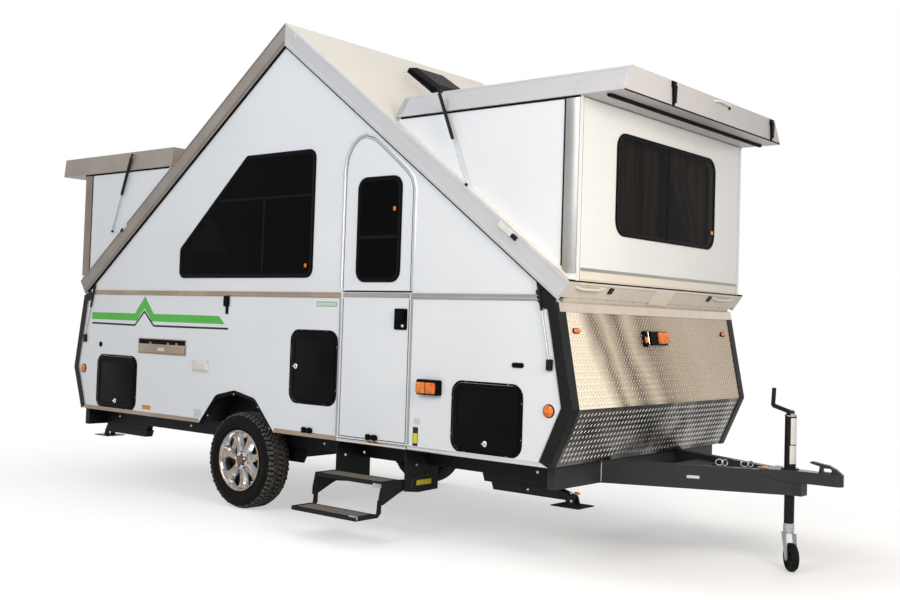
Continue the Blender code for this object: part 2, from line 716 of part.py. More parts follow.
def hatches():
    face = -HALF_W
    for name, hinge, rear_x, front_x, foot_z, top_z in HATCHES:
        edge = (front_x, foot_z) if hinge == "front" else ((rear_x + front_x) / 2, top_z)
        axis = pivot(name, (edge[0], face, edge[1]))
        outline = rectangle(rear_x, front_x, foot_z, top_z, HATCH_RADIUS)
        node(name, prism(outline, face, face + HATCH_T), "black_plastic", axis)


def roof_vent(roof):
    """A square curb on a flange, let into the front roof half, and its domed lid, nearly shut."""
    turn = Matrix.Rotation(ROOF_SLOPE, 4, "Y")
    place = Matrix.Translation((VENT_X, VENT_Y, roof_z(VENT_X))) @ turn
    hole = VENT_HOLE / 2

    def tilted(mesh, extra=Matrix()):
        mesh.transform(place @ extra)
        return mesh

    def square(half, low, high):
        return box((-half, -half, low), (half, half, high))

    cut(roof, tilted(square(hole, -0.2, 0.2)), "vent_hole")
    curb = node("roof_vent", tilted(square(VENT_SIZE / 2, FIT, VENT_FLANGE_T)), "black_plastic")
    join(curb, tilted(square(VENT_CURB / 2, VENT_FLANGE_T / 2, VENT_CURB_H)), "rim")
    join(curb, tilted(square(hole - FIT, -ROOF_T, VENT_FLANGE_T)), "throat")
    cut(curb, tilted(square(hole - 0.012, -0.2, 0.2)), "bore")
    half = VENT_CURB / 2
    hinge = Matrix.Translation((-half, 0, VENT_CURB_H + HINGE_GAP))
    lean = hinge @ Matrix.Rotation(-VENT_OPEN, 4, "Y")
    axis = pivot("roof_vent_lid", (place @ hinge).translation)
    sections = [
        # rear x, front x, half width, height
        (0.000, 0.000, half, 0.0),
        (0.006, VENT_CURB, half, SWING),
        (0.000, VENT_CURB, half, VENT_LID_EDGE),
        (0.030, VENT_CURB - 0.070, half - 0.035, VENT_LID_T),
    ]
    points = [(x, sign * y, z) for rear, front, y, z in sections for x in (rear, front) for sign in (-1, 1)]
    node("roof_vent_lid", tilted(hull(points), lean), "black_plastic", axis)


RAIL_TOP_Z = FLOOR_Z - FIT
RAIL_LOW_Z = RAIL_TOP_Z - RAIL_H
TONGUE_LOW_Z = RAIL_TOP_Z - TONGUE_H
TONGUE_FOOT_X = CROSS_FRONT_X + FIT
TONGUE_FALL = (TONGUE_FOOT_Y - TONGUE_HEAD_Y) / (TONGUE_HEAD_X - TONGUE_FOOT_X)
TONGUE_PER = math.sqrt(1 + TONGUE_FALL ** 2)


def tongue_y(x, out=0.0):
    """Half width of the tongue at x, over its rails' outer faces, moved out square to them."""
    return TONGUE_FOOT_Y - TONGUE_FALL * (x - TONGUE_FOOT_X) + out * TONGUE_PER


def chassis():
    rear_x, front_x = RAIL_REAR_X + FIT, CROSS_FRONT_X - CROSS_T - FIT
    for sign, hand in ((-1, "right"), (1, "left")):
        near, far = sorted((sign * RAIL_OUT_Y, sign * (RAIL_OUT_Y - RAIL_W)))
        rail = box((rear_x, near, RAIL_LOW_Z), (front_x, far, RAIL_TOP_Z))
        node("main_rail_" + hand, rail, "black_frame_paint")
    between = RAIL_OUT_Y - RAIL_W - FIT
    crossing = [
        # name, rear face, half length, height
        ("crossmember_front", CROSS_FRONT_X - CROSS_T, CROSS_HALF, CROSS_H),
        ("crossmember_mid", MID_CROSS_X, between, RAIL_H),
        ("crossmember_axle", AXLE_CROSS_X, between, RAIL_H),
        ("crossmember_rear", RAIL_REAR_X - CROSS_T, REAR_CROSS_HALF, CROSS_H),
    ]
    for name, low_x, half, height in crossing:
        beam = box((low_x, -half, RAIL_TOP_Z - height), (low_x + CROSS_T, half, RAIL_TOP_Z))
        node(name, beam, "black_frame_paint")
    for sign, hand in ((-1, "right"), (1, "left")):
        outer = [(TONGUE_FOOT_X, TONGUE_FOOT_Y), (TONGUE_HEAD_X, TONGUE_HEAD_Y), (TONGUE_END_X, TONGUE_HEAD_Y)]
        meet_x = TONGUE_FOOT_X + (TONGUE_FOOT_Y - TONGUE_W * TONGUE_PER - FIT) / TONGUE_FALL
        inner = [(TONGUE_END_X, FIT), (meet_x, FIT)]
        inner.append((TONGUE_FOOT_X, tongue_y(TONGUE_FOOT_X, -TONGUE_W)))
        outline = [(x, sign * y) for x, y in outer + inner]
        rail = node("tongue_rail_" + hand, prism(outline, TONGUE_LOW_Z, RAIL_TOP_Z, "z"), "black_frame_paint")
        bore = rod((JACK_X, 0, TONGUE_LOW_Z - 0.1), (JACK_X, 0, RAIL_TOP_Z + 0.1), JACK_TUBE_R + FIT, 32)
        cut(rail, bore, "jack_hole")
    deck = [(x, sign * (tongue_y(x, -TONGUE_W) - FIT)) for x, sign in
            ((DECK_REAR_X, -1), (DECK_FRONT_X, -1), (DECK_FRONT_X, 1), (DECK_REAR_X, 1))]
    node("tongue_deck", prism(deck, DECK_Z - DECK_T, DECK_Z, "z"), "black_frame_paint")


def stabilisers():
    """A folded corner jack under each end of each main rail: mount, channel arm and foot plate."""
    mount_z = RAIL_LOW_Z - FIT
    arm_z = mount_z - STABILISER_MOUNT_H
    ends = [("front", FRONT, CROSS_FRONT_X - CROSS_T, STABILISER_REACH_FRONT),
            ("rear", REAR, RAIL_REAR_X, STABILISER_REACH_REAR)]
    for tag, side, end_x, reach in ends:
        outer_x = end_x - side * 0.002
        mount = [(outer_x, mount_z), (outer_x, arm_z), (outer_x - side * STABILISER_MOUNT_L, arm_z),
                 (outer_x - side * STABILISER_MOUNT_L * 1.03, mount_z)]
        tip_x = outer_x + side * reach
        heel_x = tip_x - side * STABILISER_ARM_L
        arm = [(heel_x - side * 0.020, arm_z + 0.010), (heel_x, arm_z - STABILISER_ARM_H),
               (tip_x, arm_z - STABILISER_ARM_H), (tip_x, arm_z + 0.010 - 0.024)]
        arm.append((outer_x, arm_z + 0.010))
        for sign, hand in ((-1, "right"), (1, "left")):
            middle = sign * (RAIL_OUT_Y - RAIL_W / 2)
            near, far = middle - STABILISER_W / 2, middle + STABILISER_W / 2
            mounted = prism(mount, near + 0.004, far - 0.004)
            jack = node(f"stabiliser_{tag}_{hand}", mounted, "black_frame_paint")
            join(jack, prism(arm, near, far), "arm")
            slot = sorted((heel_x + side * 0.02, tip_x - side * STABILISER_WALL))
            channel = box((slot[0], near + STABILISER_WALL, arm_z - STABILISER_ARM_H - 0.1),
                          (slot[1], far - STABILISER_WALL, arm_z - STABILISER_WALL))
            cut(jack, channel, "channel")
            foot_x = tip_x - side * 0.010
            foot = (foot_x - STABILISER_FOOT_L / 2, foot_x + STABILISER_FOOT_L / 2)
            plate = box((foot[0], middle - STABILISER_FOOT_W / 2, STABILISER_FOOT_Z),
                        (foot[1], middle + STABILISER_FOOT_W / 2, STABILISER_FOOT_Z + STABILISER_WALL))
            join(jack, plate, "foot")
            for face in (near + 0.0005, far - STABILISER_WALL - 0.0005):
                lug_z = STABILISER_FOOT_Z + 0.002
                lug = [(foot_x - 0.035, lug_z), (foot_x + 0.035, lug_z), (foot_x + 0.018, arm_z - 0.018),
                       (foot_x - 0.018, arm_z - 0.018)]
                join(jack, prism(lug, face, face + STABILISER_WALL), f"lug_{face > middle}")


def coupler():
    """The pressed coupler: a hood over the rails' ends that narrows into the ball cup, with its latch."""
    def half(x, out):
        return tongue_y(x, out) if x < TONGUE_HEAD_X else TONGUE_HEAD_Y + out

    def hood(out, rear_x):
        plan = [(rear_x, tongue_y(rear_x, out)), (TONGUE_HEAD_X, TONGUE_HEAD_Y + out)]
        plan += [(TONGUE_END_X + out, TONGUE_HEAD_Y + out)]
        return plan

    cup_x = COUPLER_TIP_X - CUP_R
    right = hood(FIT + COUPLER_T, COUPLER_REAR_X) + [(TONGUE_END_X + 0.060, COUPLER_NECK_Y + COUPLER_T)]
    right += [(cup_x, CUP_R)]
    turns = [math.radians(degrees) for degrees in range(72, -73, -24)]
    tip = [(cup_x + CUP_R * math.cos(a), CUP_R * math.sin(a)) for a in turns]
    plan = right + tip + [(x, -y) for x, y in reversed(right)]
    made = node("coupler", prism(plan, COUPLER_FOOT_Z, COUPLER_TOP_Z, "z"), "black_frame_paint")
    inside = hood(FIT, COUPLER_REAR_X - 0.05)
    inside += [(x, -y) for x, y in reversed(inside)]
    cut(made, prism(inside, COUPLER_FOOT_Z - 0.1, RAIL_TOP_Z + FIT, "z"), "rails_space")
    neck = [(TONGUE_END_X, COUPLER_NECK_Y), (cup_x - CUP_R - 0.012, COUPLER_NECK_Y - 0.006)]
    neck += [(x, -y) for x, y in reversed(neck)]
    cut(made, prism(neck, COUPLER_FOOT_Z - 0.1, COUPLER_TOP_Z - COUPLER_T, "z"), "neck_channel")
    heel = [(COUPLER_REAR_X - 0.1, COUPLER_FOOT_Z - 0.1), (COUPLER_REAR_X + 0.150, COUPLER_FOOT_Z - 0.1),
            (COUPLER_REAR_X + 0.140, COUPLER_FOOT_Z), (COUPLER_REAR_X + 0.080, COUPLER_FOOT_Z + 0.008),
            (COUPLER_REAR_X + 0.020, COUPLER_FOOT_Z + 0.036), (COUPLER_REAR_X - 0.1, COUPLER_FOOT_Z + 0.036)]
    cut(made, prism(heel, -0.3, 0.3), "slanted_rear")
    socket_top = COUPLER_TOP_Z - 0.022
    cut(made, rod((cup_x, 0, COUPLER_FOOT_Z - 0.1), (cup_x, 0, socket_top), SOCKET_R, 32), "ball_socket")
    jack_hole = rod((JACK_X, 0, COUPLER_FOOT_Z), (JACK_X, 0, COUPLER_TOP_Z + 0.1), JACK_TUBE_R + FIT, 32)
    cut(made, jack_hole, "jack_hole")
    low = COUPLER_TOP_Z - 0.012
    lever = [(-0.130, 0.000), (-0.126, 0.034), (-0.172, 0.044), (-0.182, 0.052), (-0.168, 0.057)]
    lever += [(-0.120, 0.050), (-0.078, 0.044), (-0.040, 0.026), (-0.012, 0.004), (-0.010, -0.010)]
    lever.append((-0.125, -0.010))
    lever = [(COUPLER_TIP_X + x, COUPLER_TOP_Z + z) for x, z in lever]
    join(made, prism(lever, -0.014, 0.014), "latch_lever")
    eye_z = COUPLER_TOP_Z + 0.016
    eye = rectangle(COUPLER_TIP_X - 0.112, COUPLER_TIP_X - 0.060, eye_z - 0.010, eye_z + 0.010, 0.009, 3)
    cut(made, prism(eye, -0.1, 0.1), "latch_eye")


def jack():
    """Swivel-wheel tongue jack: fixed tube with its crank, sliding leg, swivelling fork and wheel."""
    collar_z = COUPLER_TOP_Z + FIT
    hub_z = JACK_TOP_Z + 0.022
    cap_z = JACK_TOP_Z - 0.025
    bore_r = JACK_LEG_R + 0.001
    profile = [(bore_r, cap_z), (bore_r, JACK_FOOT_Z), (JACK_TUBE_R, JACK_FOOT_Z), (JACK_TUBE_R, collar_z),
               (0.048, collar_z), (0.048, collar_z + 0.008), (JACK_TUBE_R, collar_z + 0.008),
               (JACK_TUBE_R, JACK_TOP_Z), (0.020, JACK_TOP_Z), (0.020, hub_z + 0.006)]
    tube = node("jack_tube", revolve(profile, 28, (JACK_X, 0, 0), "z", closed=False), "black_frame_paint")
    join(tube, rod((JACK_X - 0.005, -0.030, hub_z), (JACK_X - 0.005, 0.026, hub_z), 0.011, 16), "crank_shaft")
    arm = [(0.012, -0.012), (0.006, 0.014), (-0.085, 0.042), (-0.100, 0.034), (-0.094, 0.020)]
    arm = [(JACK_X + x, hub_z + z) for x, z in arm]
    join(tube, prism(arm, -0.034, -0.027), "crank_arm")
    grip = rod((JACK_X - 0.091, -0.0305, hub_z + 0.030), (JACK_X - 0.086, -0.0305, hub_z + 0.128), 0.0115, 16)
    join(tube, grip, "crank_grip")

    pin_r = 0.012
    slide = pivot("jack_leg", (JACK_X, 0, JACK_FOOT_Z))
    leg = rod((JACK_X, 0, JACK_FORK_TOP_Z + 0.0015), (JACK_X, 0, cap_z - 0.160), JACK_LEG_R, 28)
    leg = node("jack_leg", leg, "black_frame_paint", slide)
    swivel_pin = rod((JACK_X, 0, JACK_FORK_TOP_Z - 0.040), (JACK_X, 0, JACK_FORK_TOP_Z + 0.01), pin_r, 20)
    join(leg, swivel_pin, "swivel_pin")

    def turned(mesh):
        mesh.transform(Matrix.Translation((JACK_X, 0, 0)) @ Matrix.Rotation(CASTER_TURN, 4, "Z"))
        return mesh

    swivel = pivot("jack_fork", (JACK_X, 0, JACK_FORK_TOP_Z), slide)
    crown = rod((0, 0, JACK_FORK_TOP_Z - FORK_H), (0, 0, JACK_FORK_TOP_Z), FORK_R, 28)
    fork = node("jack_fork", turned(crown), "zinc", swivel)
    half = CASTER_W / 2 + 0.006
    sheet = 0.005
    plate_z = JACK_FORK_TOP_Z - FORK_H + 0.003
    join(fork, turned(box((-0.032, -half - sheet, plate_z - sheet), (0.040, half + sheet, plate_z))), "plate")
    cheek_z = plate_z - 0.002
    cheek = [(-0.030, cheek_z), (CASTER_TRAIL - 0.018, CASTER_Z), (CASTER_TRAIL - 0.010, CASTER_Z - 0.016)]
    cheek += [(CASTER_TRAIL + 0.010, CASTER_Z - 0.016), (CASTER_TRAIL + 0.018, CASTER_Z), (0.038, cheek_z)]
    for sign in (-1, 1):
        near, far = sorted((sign * half, sign * (half + sheet)))
        join(fork, turned(prism(cheek, near, far)), f"cheek{sign}")
    pin = rod((CASTER_TRAIL, -half - 0.011, CASTER_Z), (CASTER_TRAIL, half + 0.011, CASTER_Z), PIN_R, 16)
    join(fork, turned(pin), "axle_pin")
    socket = rod((0, 0, JACK_FORK_TOP_Z - 0.042), (0, 0, JACK_FORK_TOP_Z + 0.1), pin_r + PIN_GAP, 20)
    cut(fork, turned(socket), "socket")

    trail = Vector((math.cos(CASTER_TURN), math.sin(CASTER_TURN), 0)) * CASTER_TRAIL
    spin = pivot("jack_wheel", (JACK_X + trail.x, trail.y, CASTER_Z), swivel)
    bore, half = PIN_R + PIN_GAP, CASTER_W / 2
    profile = [(bore, -half * 0.9), (0.020, -half * 0.9), (0.024, -half * 0.5), (0.050, -half * 0.5),
               (0.056, -half * 0.85), (CASTER_R - 0.008, -half), (CASTER_R, -half * 0.45)]
    profile += [(r, -y) for r, y in reversed(profile)]
    node("jack_wheel", turned(revolve(profile, 32, (CASTER_TRAIL, 0, CASTER_Z), "y")), "tyre_rubber", spin)


def axle():
    """Rubber-torsion axle: square tube, a trailing arm with its spindle each side, and frame brackets."""
    half_t = AXLE_TUBE / 2
    arm_y = WHEEL_FACE_Y + TYRE_PROUD - TYRE_W - ARM_CLEAR
    tube_y = RAIL_OUT_Y - 0.030
    made = node("axle", box((AXLE_TUBE_X - half_t, -tube_y, AXLE_TUBE_Z - half_t),
                            (AXLE_TUBE_X + half_t, tube_y, AXLE_TUBE_Z + half_t)), "black_frame_paint")
    top_z = RAIL_LOW_Z - FIT
    foot_z = AXLE_TUBE_Z - half_t - 0.020
    shoe_rear, shoe_front = AXLE_TUBE_X - SHOE_REAR, AXLE_TUBE_X + SHOE_FRONT
    for sign, hand in ((-1, "right"), (1, "left")):
        near, far = sorted((sign * (tube_y - 0.012), sign * (tube_y - 0.002)))
        hanger = [(shoe_rear + 0.001, top_z), (shoe_rear + 0.050, foot_z), (shoe_front - 0.060, foot_z),
                  (shoe_front - 0.001, top_z)]
        join(made, prism(hanger, near, far), "hanger_" + hand)
        near, far = sorted((sign * (tube_y - 0.013), sign * (RAIL_OUT_Y - 0.004)))
        join(made, box((shoe_rear, near, top_z - 0.010), (shoe_front, far, top_z)), "shoe_" + hand)
        near, far = sorted((sign * (tube_y - 0.008), sign * arm_y))
        arm = [(AXLE_TUBE_X + 0.025, AXLE_TUBE_Z - 0.030), (AXLE_TUBE_X + 0.025, AXLE_TUBE_Z + 0.028),
               (0.0, AXLE_Z + 0.032), (-0.030, AXLE_Z), (0.0, AXLE_Z - 0.032)]
        join(made, prism(arm, near, far), "arm_" + hand)
        drum_y = WHEEL_FACE_Y - RIM_W - 0.006
        spindle = [(0.045, sign * (tube_y + 0.010)), (0.045, sign * drum_y), (SPINDLE_R, sign * drum_y),
                   (SPINDLE_R, sign * (WHEEL_FACE_Y - 0.100))]
        join(made, revolve(spindle, 28, (0, 0, AXLE_Z), "y", closed=False), "spindle_" + hand)


def road_wheel(sign, hand):
    """Cast eight-spoke rim and its tyre."""
    face = WHEEL_FACE_Y
    spin = pivot("wheel_" + hand, (0, sign * (face - TYRE_W / 2), AXLE_Z))
    seat, lip = RIM_SEAT_R, RIM_R
    back = face - RIM_W
    front = [(0.026, face - 0.010), (0.034, face - 0.016), (0.036, face - 0.040), (0.050, face - 0.044),
             (0.075, face - 0.042), (0.168, face - 0.022), (seat - 0.008, face - 0.014)]
    bead = [(lip - 0.012, face - 0.002), (lip - 0.008, face), (lip, face - 0.003), (lip, face - 0.010),
            (seat, face - 0.018), (seat - 0.002, face - 0.055), (seat - 0.020, face - 0.075)]
    barrel = [(seat - 0.020, back + 0.032), (seat, back + 0.018), (lip, back + 0.008), (lip, back),
              (lip - 0.010, back), (seat - 0.010, back + 0.012), (seat - 0.030, back + 0.034)]
    hub = [(seat - 0.030, face - 0.072), (0.150, face - 0.058), (0.062, face - 0.068), (0.056, back + 0.030),
           (SPINDLE_R + FIT, back + 0.030), (SPINDLE_R + FIT, face - 0.090)]
    profile = [(r, sign * y) for r, y in front + bead + barrel + hub]
    centre = (0, 0, AXLE_Z)
    rim = node("wheel_" + hand, revolve(profile, 48, centre, closed=False), "alloy", spin)
    pocket = [(-0.013, 0.072), (0.013, 0.072), (0.044, 0.143), (0.024, 0.157), (-0.024, 0.157), (-0.044, 0.143)]
    pocket = rounded(pocket, [0.007, 0.007, 0.012, 0.020, 0.020, 0.012], 3)
    near, far = sorted((sign * (face + 0.02), sign * (face - 0.085)))
    for k in range(SPOKES):
        mesh = prism(pocket, near, far)
        mesh.transform(Matrix.Translation(centre) @ Matrix.Rotation(2 * math.pi * (k + 0.5) / SPOKES, 4, "Y"))
        cut(rim, mesh, f"window_{k}")

    out = face + TYRE_PROUD
    inn = out - TYRE_W
    seat_r, bead_r = seat + FIT, lip + FIT + 0.004
    outer = [(seat_r, face - 0.022), (bead_r, face - 0.014), (lip + 0.018, out - 0.006),
             (lip + 0.052, out + 0.002), (TYRE_SHOULDER_R - 0.016, out - 0.006),
             (TYRE_SHOULDER_R, out - 0.016), (TYRE_R - 0.004, out - 0.030), (TYRE_R, out - 0.055)]
    inner = [(r, inn + (out - y)) for r, y in reversed(outer[3:])]
    inner += [(lip + 0.018, inn + 0.006), (bead_r, back + 0.006), (seat_r, back + 0.022)]
    well = [(seat_r + 0.014, back + 0.040), (seat_r + 0.014, face - 0.040)]
    profile = [(r, sign * y) for r, y in outer + inner + well]
    node("tyre_" + hand, revolve(profile, 64, centre), "tyre_rubber", spin)


def entry_step():
    """Housing plates under the rail, and two hinged frames with a tread each."""
    pivot_y, pivot_z = -STEP_PIVOT_Y, STEP_PIVOT_Z
    knee_y, knee_z = -STEP_KNEE_Y, STEP_KNEE_Z
    clear = 0.0055
    plate_t = STEP_PLATE_T

    def pin(low_x, high_x, y, z, radius=PIN_R):
        return rod((low_x, y, z), (high_x, y, z), radius, 16)

    def frame(name, arm, cheeks, tread_out_y, tread_z, axis):
        """Two side arms with a tread between them, bored for the pins it turns on."""
        made = node(name, prism(arm, cheeks[0], cheeks[0] + plate_t, "x"), "black_frame_paint", axis)
        join(made, prism(arm, cheeks[1] - plate_t, cheeks[1], "x"), "front_arm")
        tread = box((cheeks[0] + 0.002, tread_out_y, tread_z - STEP_TREAD_T),
                    (cheeks[1] - 0.002, tread_out_y + STEP_TREAD_D, tread_z))
        join(made, tread, "tread")
        return made

    rail_z = RAIL_LOW_Z - FIT
    seat_z = FLOOR_Z - FIT
    out_y = pivot_y - 0.022
    rail_y = -RAIL_OUT_Y - FIT
    plate = [(out_y, seat_z), (out_y, pivot_z - 0.030), (pivot_y + 0.100, pivot_z - 0.045),
             (-STEP_IN_Y, pivot_z - 0.040), (-STEP_IN_Y, rail_z), (rail_y, rail_z), (rail_y, seat_z)]
    low_x, high_x = STEP_REAR_X, STEP_FRONT_X
    housing = node("step_housing", prism(plate, low_x - plate_t, low_x, "x"), "black_frame_paint")
    join(housing, prism(plate, high_x, high_x + plate_t, "x"), "front_plate")
    head = box((low_x - 0.001, -RAIL_OUT_Y + 0.004, rail_z - 0.006), (high_x + 0.001, -STEP_IN_Y - 0.02, rail_z))
    join(housing, head, "head_plate")
    for x, inward, name in ((low_x, 1, "rear"), (high_x, -1, "front")):
        ends = sorted((x - inward * 0.001, x + inward * (clear + plate_t + 0.004)))
        join(housing, pin(*ends, pivot_y, pivot_z), "pin_" + name)

    upper_axis = pivot("step_upper", ((low_x + high_x) / 2, pivot_y, pivot_z))
    cheeks = (low_x + clear, high_x - clear)
    arm = [(pivot_y + 0.016, pivot_z - 0.014), (pivot_y + 0.016, pivot_z + 0.014), (pivot_y - 0.020, STEP_UPPER_Z),
           (knee_y, STEP_UPPER_Z), (knee_y - 0.020, knee_z + 0.030), (knee_y - 0.020, knee_z - 0.016),
           (knee_y + 0.014, knee_z - 0.016), (pivot_y - 0.060, pivot_z - 0.038)]
    upper = frame("step_upper", arm, cheeks, knee_y, STEP_UPPER_Z - 0.002, upper_axis)
    for x, inward, name in ((cheeks[0], 1, "rear"), (cheeks[1], -1, "front")):
        ends = sorted((x - inward * 0.01, x + inward * (plate_t + 0.01)))
        cut(upper, pin(*ends, pivot_y, pivot_z, PIN_R + PIN_GAP), "bore_" + name)
        ends = sorted((x + inward * (plate_t - 0.001), x + inward * (2 * plate_t + clear + 0.003)))
        join(upper, pin(*ends, knee_y, knee_z), "pin_" + name)

    lower_axis = pivot("step_lower", ((low_x + high_x) / 2, knee_y, knee_z), upper_axis)
    cheeks = (cheeks[0] + plate_t + clear, cheeks[1] - plate_t - clear)
    low_z = STEP_LOWER_Z - 0.024
    arm = [(knee_y + 0.014, knee_z + 0.014), (knee_y - 0.016, knee_z + 0.014), (knee_y - 0.024, STEP_LOWER_Z),
           (-STEP_OUT_Y, STEP_LOWER_Z), (-STEP_OUT_Y, low_z), (knee_y - 0.014, low_z), (knee_y + 0.012, STEP_LOWER_Z)]
    lower = frame("step_lower", arm, cheeks, -STEP_OUT_Y, STEP_LOWER_Z - 0.002, lower_axis)
    for x, inward, name in ((cheeks[0], 1, "rear"), (cheeks[1], -1, "front")):
        ends = sorted((x - inward * 0.01, x + inward * (plate_t + 0.01)))
        cut(lower, pin(*ends, knee_y, knee_z, PIN_R + PIN_GAP), "bore_" + name)


side_walls()
end_panels()
floor_pan()
roof_front = roof_half("roof_front", FRONT)
roof_rear = roof_half("roof_rear", REAR)
dormer(FRONT, roof_front)
dormer(REAR, roof_rear)
gables()
hatches()
roof_vent(roof_front)
chassis()
stabilisers()
coupler()
jack()
axle()
road_wheel(-1, "right")
road_wheel(1, "left")
entry_step()


def seat_on_origin():
    """Moves the root so that the box of all nodes stands centred on the origin, feet on z = 0."""
    bpy.context.view_layer.update()
    graph = bpy.context.evaluated_depsgraph_get()
    low, high = Vector((1e9,) * 3), Vector((-1e9,) * 3)
    for obj in PARTS.objects:
        if obj.type != "MESH":
            continue
        done = obj.evaluated_get(graph)
        for corner in done.bound_box:
            point = done.matrix_world @ Vector(corner)
            low = Vector(map(min, low, point))
            high = Vector(map(max, high, point))
    root.location = (-(low.x + high.x) / 2, -(low.y + high.y) / 2, -low.z)
    bpy.context.view_layer.update()


seat_on_origin()
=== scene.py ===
"""Looks of a folding camper trailer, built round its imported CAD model.

Places are metres in the trailer's own axes: x ahead of the axle, y left of the centre line and z up.
"""
import math
import random
from contextlib import contextmanager

import bmesh
import bpy
from mathutils import Matrix, Vector


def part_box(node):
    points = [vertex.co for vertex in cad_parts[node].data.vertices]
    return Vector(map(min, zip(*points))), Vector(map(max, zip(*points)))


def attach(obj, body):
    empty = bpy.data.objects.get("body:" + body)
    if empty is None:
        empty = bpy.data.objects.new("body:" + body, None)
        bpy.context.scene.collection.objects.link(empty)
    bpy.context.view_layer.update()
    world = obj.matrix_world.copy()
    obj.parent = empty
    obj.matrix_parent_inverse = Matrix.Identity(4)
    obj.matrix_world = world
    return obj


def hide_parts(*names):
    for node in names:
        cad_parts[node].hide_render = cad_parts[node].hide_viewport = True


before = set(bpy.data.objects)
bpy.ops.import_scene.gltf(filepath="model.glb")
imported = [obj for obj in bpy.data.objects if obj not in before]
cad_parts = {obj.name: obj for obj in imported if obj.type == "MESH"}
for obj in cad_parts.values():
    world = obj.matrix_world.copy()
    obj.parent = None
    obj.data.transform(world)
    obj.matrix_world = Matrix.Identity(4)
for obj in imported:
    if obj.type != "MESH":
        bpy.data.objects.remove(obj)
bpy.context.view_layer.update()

# Camera, found by fitting the trailer's edges to the photograph
CAMERA_PLACE = (5.835, -5.891, 1.316)
CAMERA_YAW, CAMERA_PITCH, CAMERA_ROLL = 129.334, 2.094, 1.781
CAMERA_LENS, SENSOR_W = 44.116, 36.0
CAMERA_SHIFT = (-0.00636, -0.01994)

# Square lamps: name, place, the point they face, side, watts and colour
LAMPS = (
    ("key_side", (1.9, -6.6, 4.4), (0.6, -1.0, 1.8), 3.0, 185, "#F6F9FF"),
    ("key_front", (5.4, -2.0, 2.5), (2.6, -0.3, 1.9), 1.6, 90, "#FFF2E0"),
    ("left_fill", (0.5, 9.5, 4.5), (0.5, 1.0, 1.5), 4.0, 200, "#FFFBF5"),
    ("rear_fill", (-8.5, 3.0, 4.5), (-2.0, 0.0, 1.5), 4.0, 130, "#FFF8EE"),
    ("top", (0.5, 0.0, 8.0), (0.5, 0.0, 1.5), 5.0, 90, "#FFFBF5"),
)
WORLD_LIGHT = 0.45

# Body
HALF_W = 1.034
FLOOR_Z, KNEE_Z, NOSE_TOP_Z, BELT_Z = 0.562, 0.876, 1.440, 1.4876
NOSE_FOOT_X, NOSE_KNEE_X, NOSE_TOP_X = 2.528, 2.668, 2.555
NOSE_RISE = 0.9805         # height gained in a metre along the upper nose
TAIL_FOOT_X, TAIL_KNEE_X, TAIL_TOP_X = -1.886, -2.005, -1.905
WALL_FRONT_X, WALL_REAR_X = 2.500, -1.810
TRIM_W = 0.064             # black corner trims
TRIM_H = 0.005
LEFT_RAISE = 0.045
GROUND_Z = 0.020
BAND_LEAN = 0.43           # how far the bands of the tread plate lean sideways in a metre of height

# Roof
APEX_X, APEX_Z = 0.347, 3.258
ROOF_SLOPE = math.radians(36.74)
ROOF_RUN = 2.290
ROOF_EDGE = 0.120
ROOF_HALF_W = 1.052
SKIRT_T = 0.0135           # how far in the colour of the roof's folded skirts reaches
SLOPE_RUN = ROOF_RUN / math.cos(ROOF_SLOPE)

# Dormers
FRONT_WALL_X, REAR_WALL_X = 2.635, -1.941
FRONT_SIDE_Y, REAR_SIDE_Y = 0.985, 1.040
FRONT_LID = (2.545, 2.690, 2.900, 1.000, 0.905)     # underside, top, end, half width at foot and at top
REAR_LID = (2.386, 2.525, -2.245, 1.052, 1.040)

# Openings
DOOR = (0.945, 1.520, 0.585)
HATCHES = {
    "hatch_rear": (-1.675, -1.185, 0.598, 0.978),
    "hatch_mid": (0.505, 0.912, 0.780, 1.228),
    "hatch_front": (1.865, 2.338, 0.602, 0.978),
}
GABLE_WINDOW = [(-0.689, 1.588), (0.657, 1.588), (0.657, 2.386), (0.000, 2.386), (-0.689, 1.775)]
GABLE_WINDOW_RADII = [0.035, 0.045, 0.045, 0.030, 0.030]
DOOR_WINDOW = (1.075, 1.410, 1.560, 2.172)
ARCH = [(-0.415, 0.562), (-0.243, 0.765), (-0.050, 0.806), (0.157, 0.765), (0.350, 0.562)]

# Running gear
AXLE_Z, TYRE_R, TYRE_W, WHEEL_FACE_Y, TYRE_PROUD = 0.342, 0.322, 0.200, 1.020, 0.008
RIM_LIP_R, RIM_SEAT_R, SHOULDER_R = 0.205, 0.192, 0.303
SPOKES, SPOKE_TURN = 7, 14.0        # the turn is the first spoke's above the level, in degrees
NUTS, NUT_CIRCLE_R = 5, 0.046
LUGS_ROUND, LUG_HEIGHT = 58, 0.008
JACK_X = 3.420


def srgb(code, alpha=1.0):
    """Linear colour of an sRGB hex value."""
    parts = [int(code[k:k + 2], 16) / 255 for k in (1, 3, 5)]
    return [c / 12.92 if c <= 0.04045 else ((c + 0.055) / 1.055) ** 2.4 for c in parts] + [alpha]


def add(tree, kind, inputs=None, **settings):
    """Adds a shader node. An input is a value, or the output that feeds it."""
    made = tree.nodes.new("ShaderNode" + kind)
    for key, value in settings.items():
        setattr(made, key, value)
    for key, value in (inputs or {}).items():
        if isinstance(value, bpy.types.NodeSocket):
            tree.links.new(value, made.inputs[key])
        else:
            made.inputs[key].default_value = value
    return made


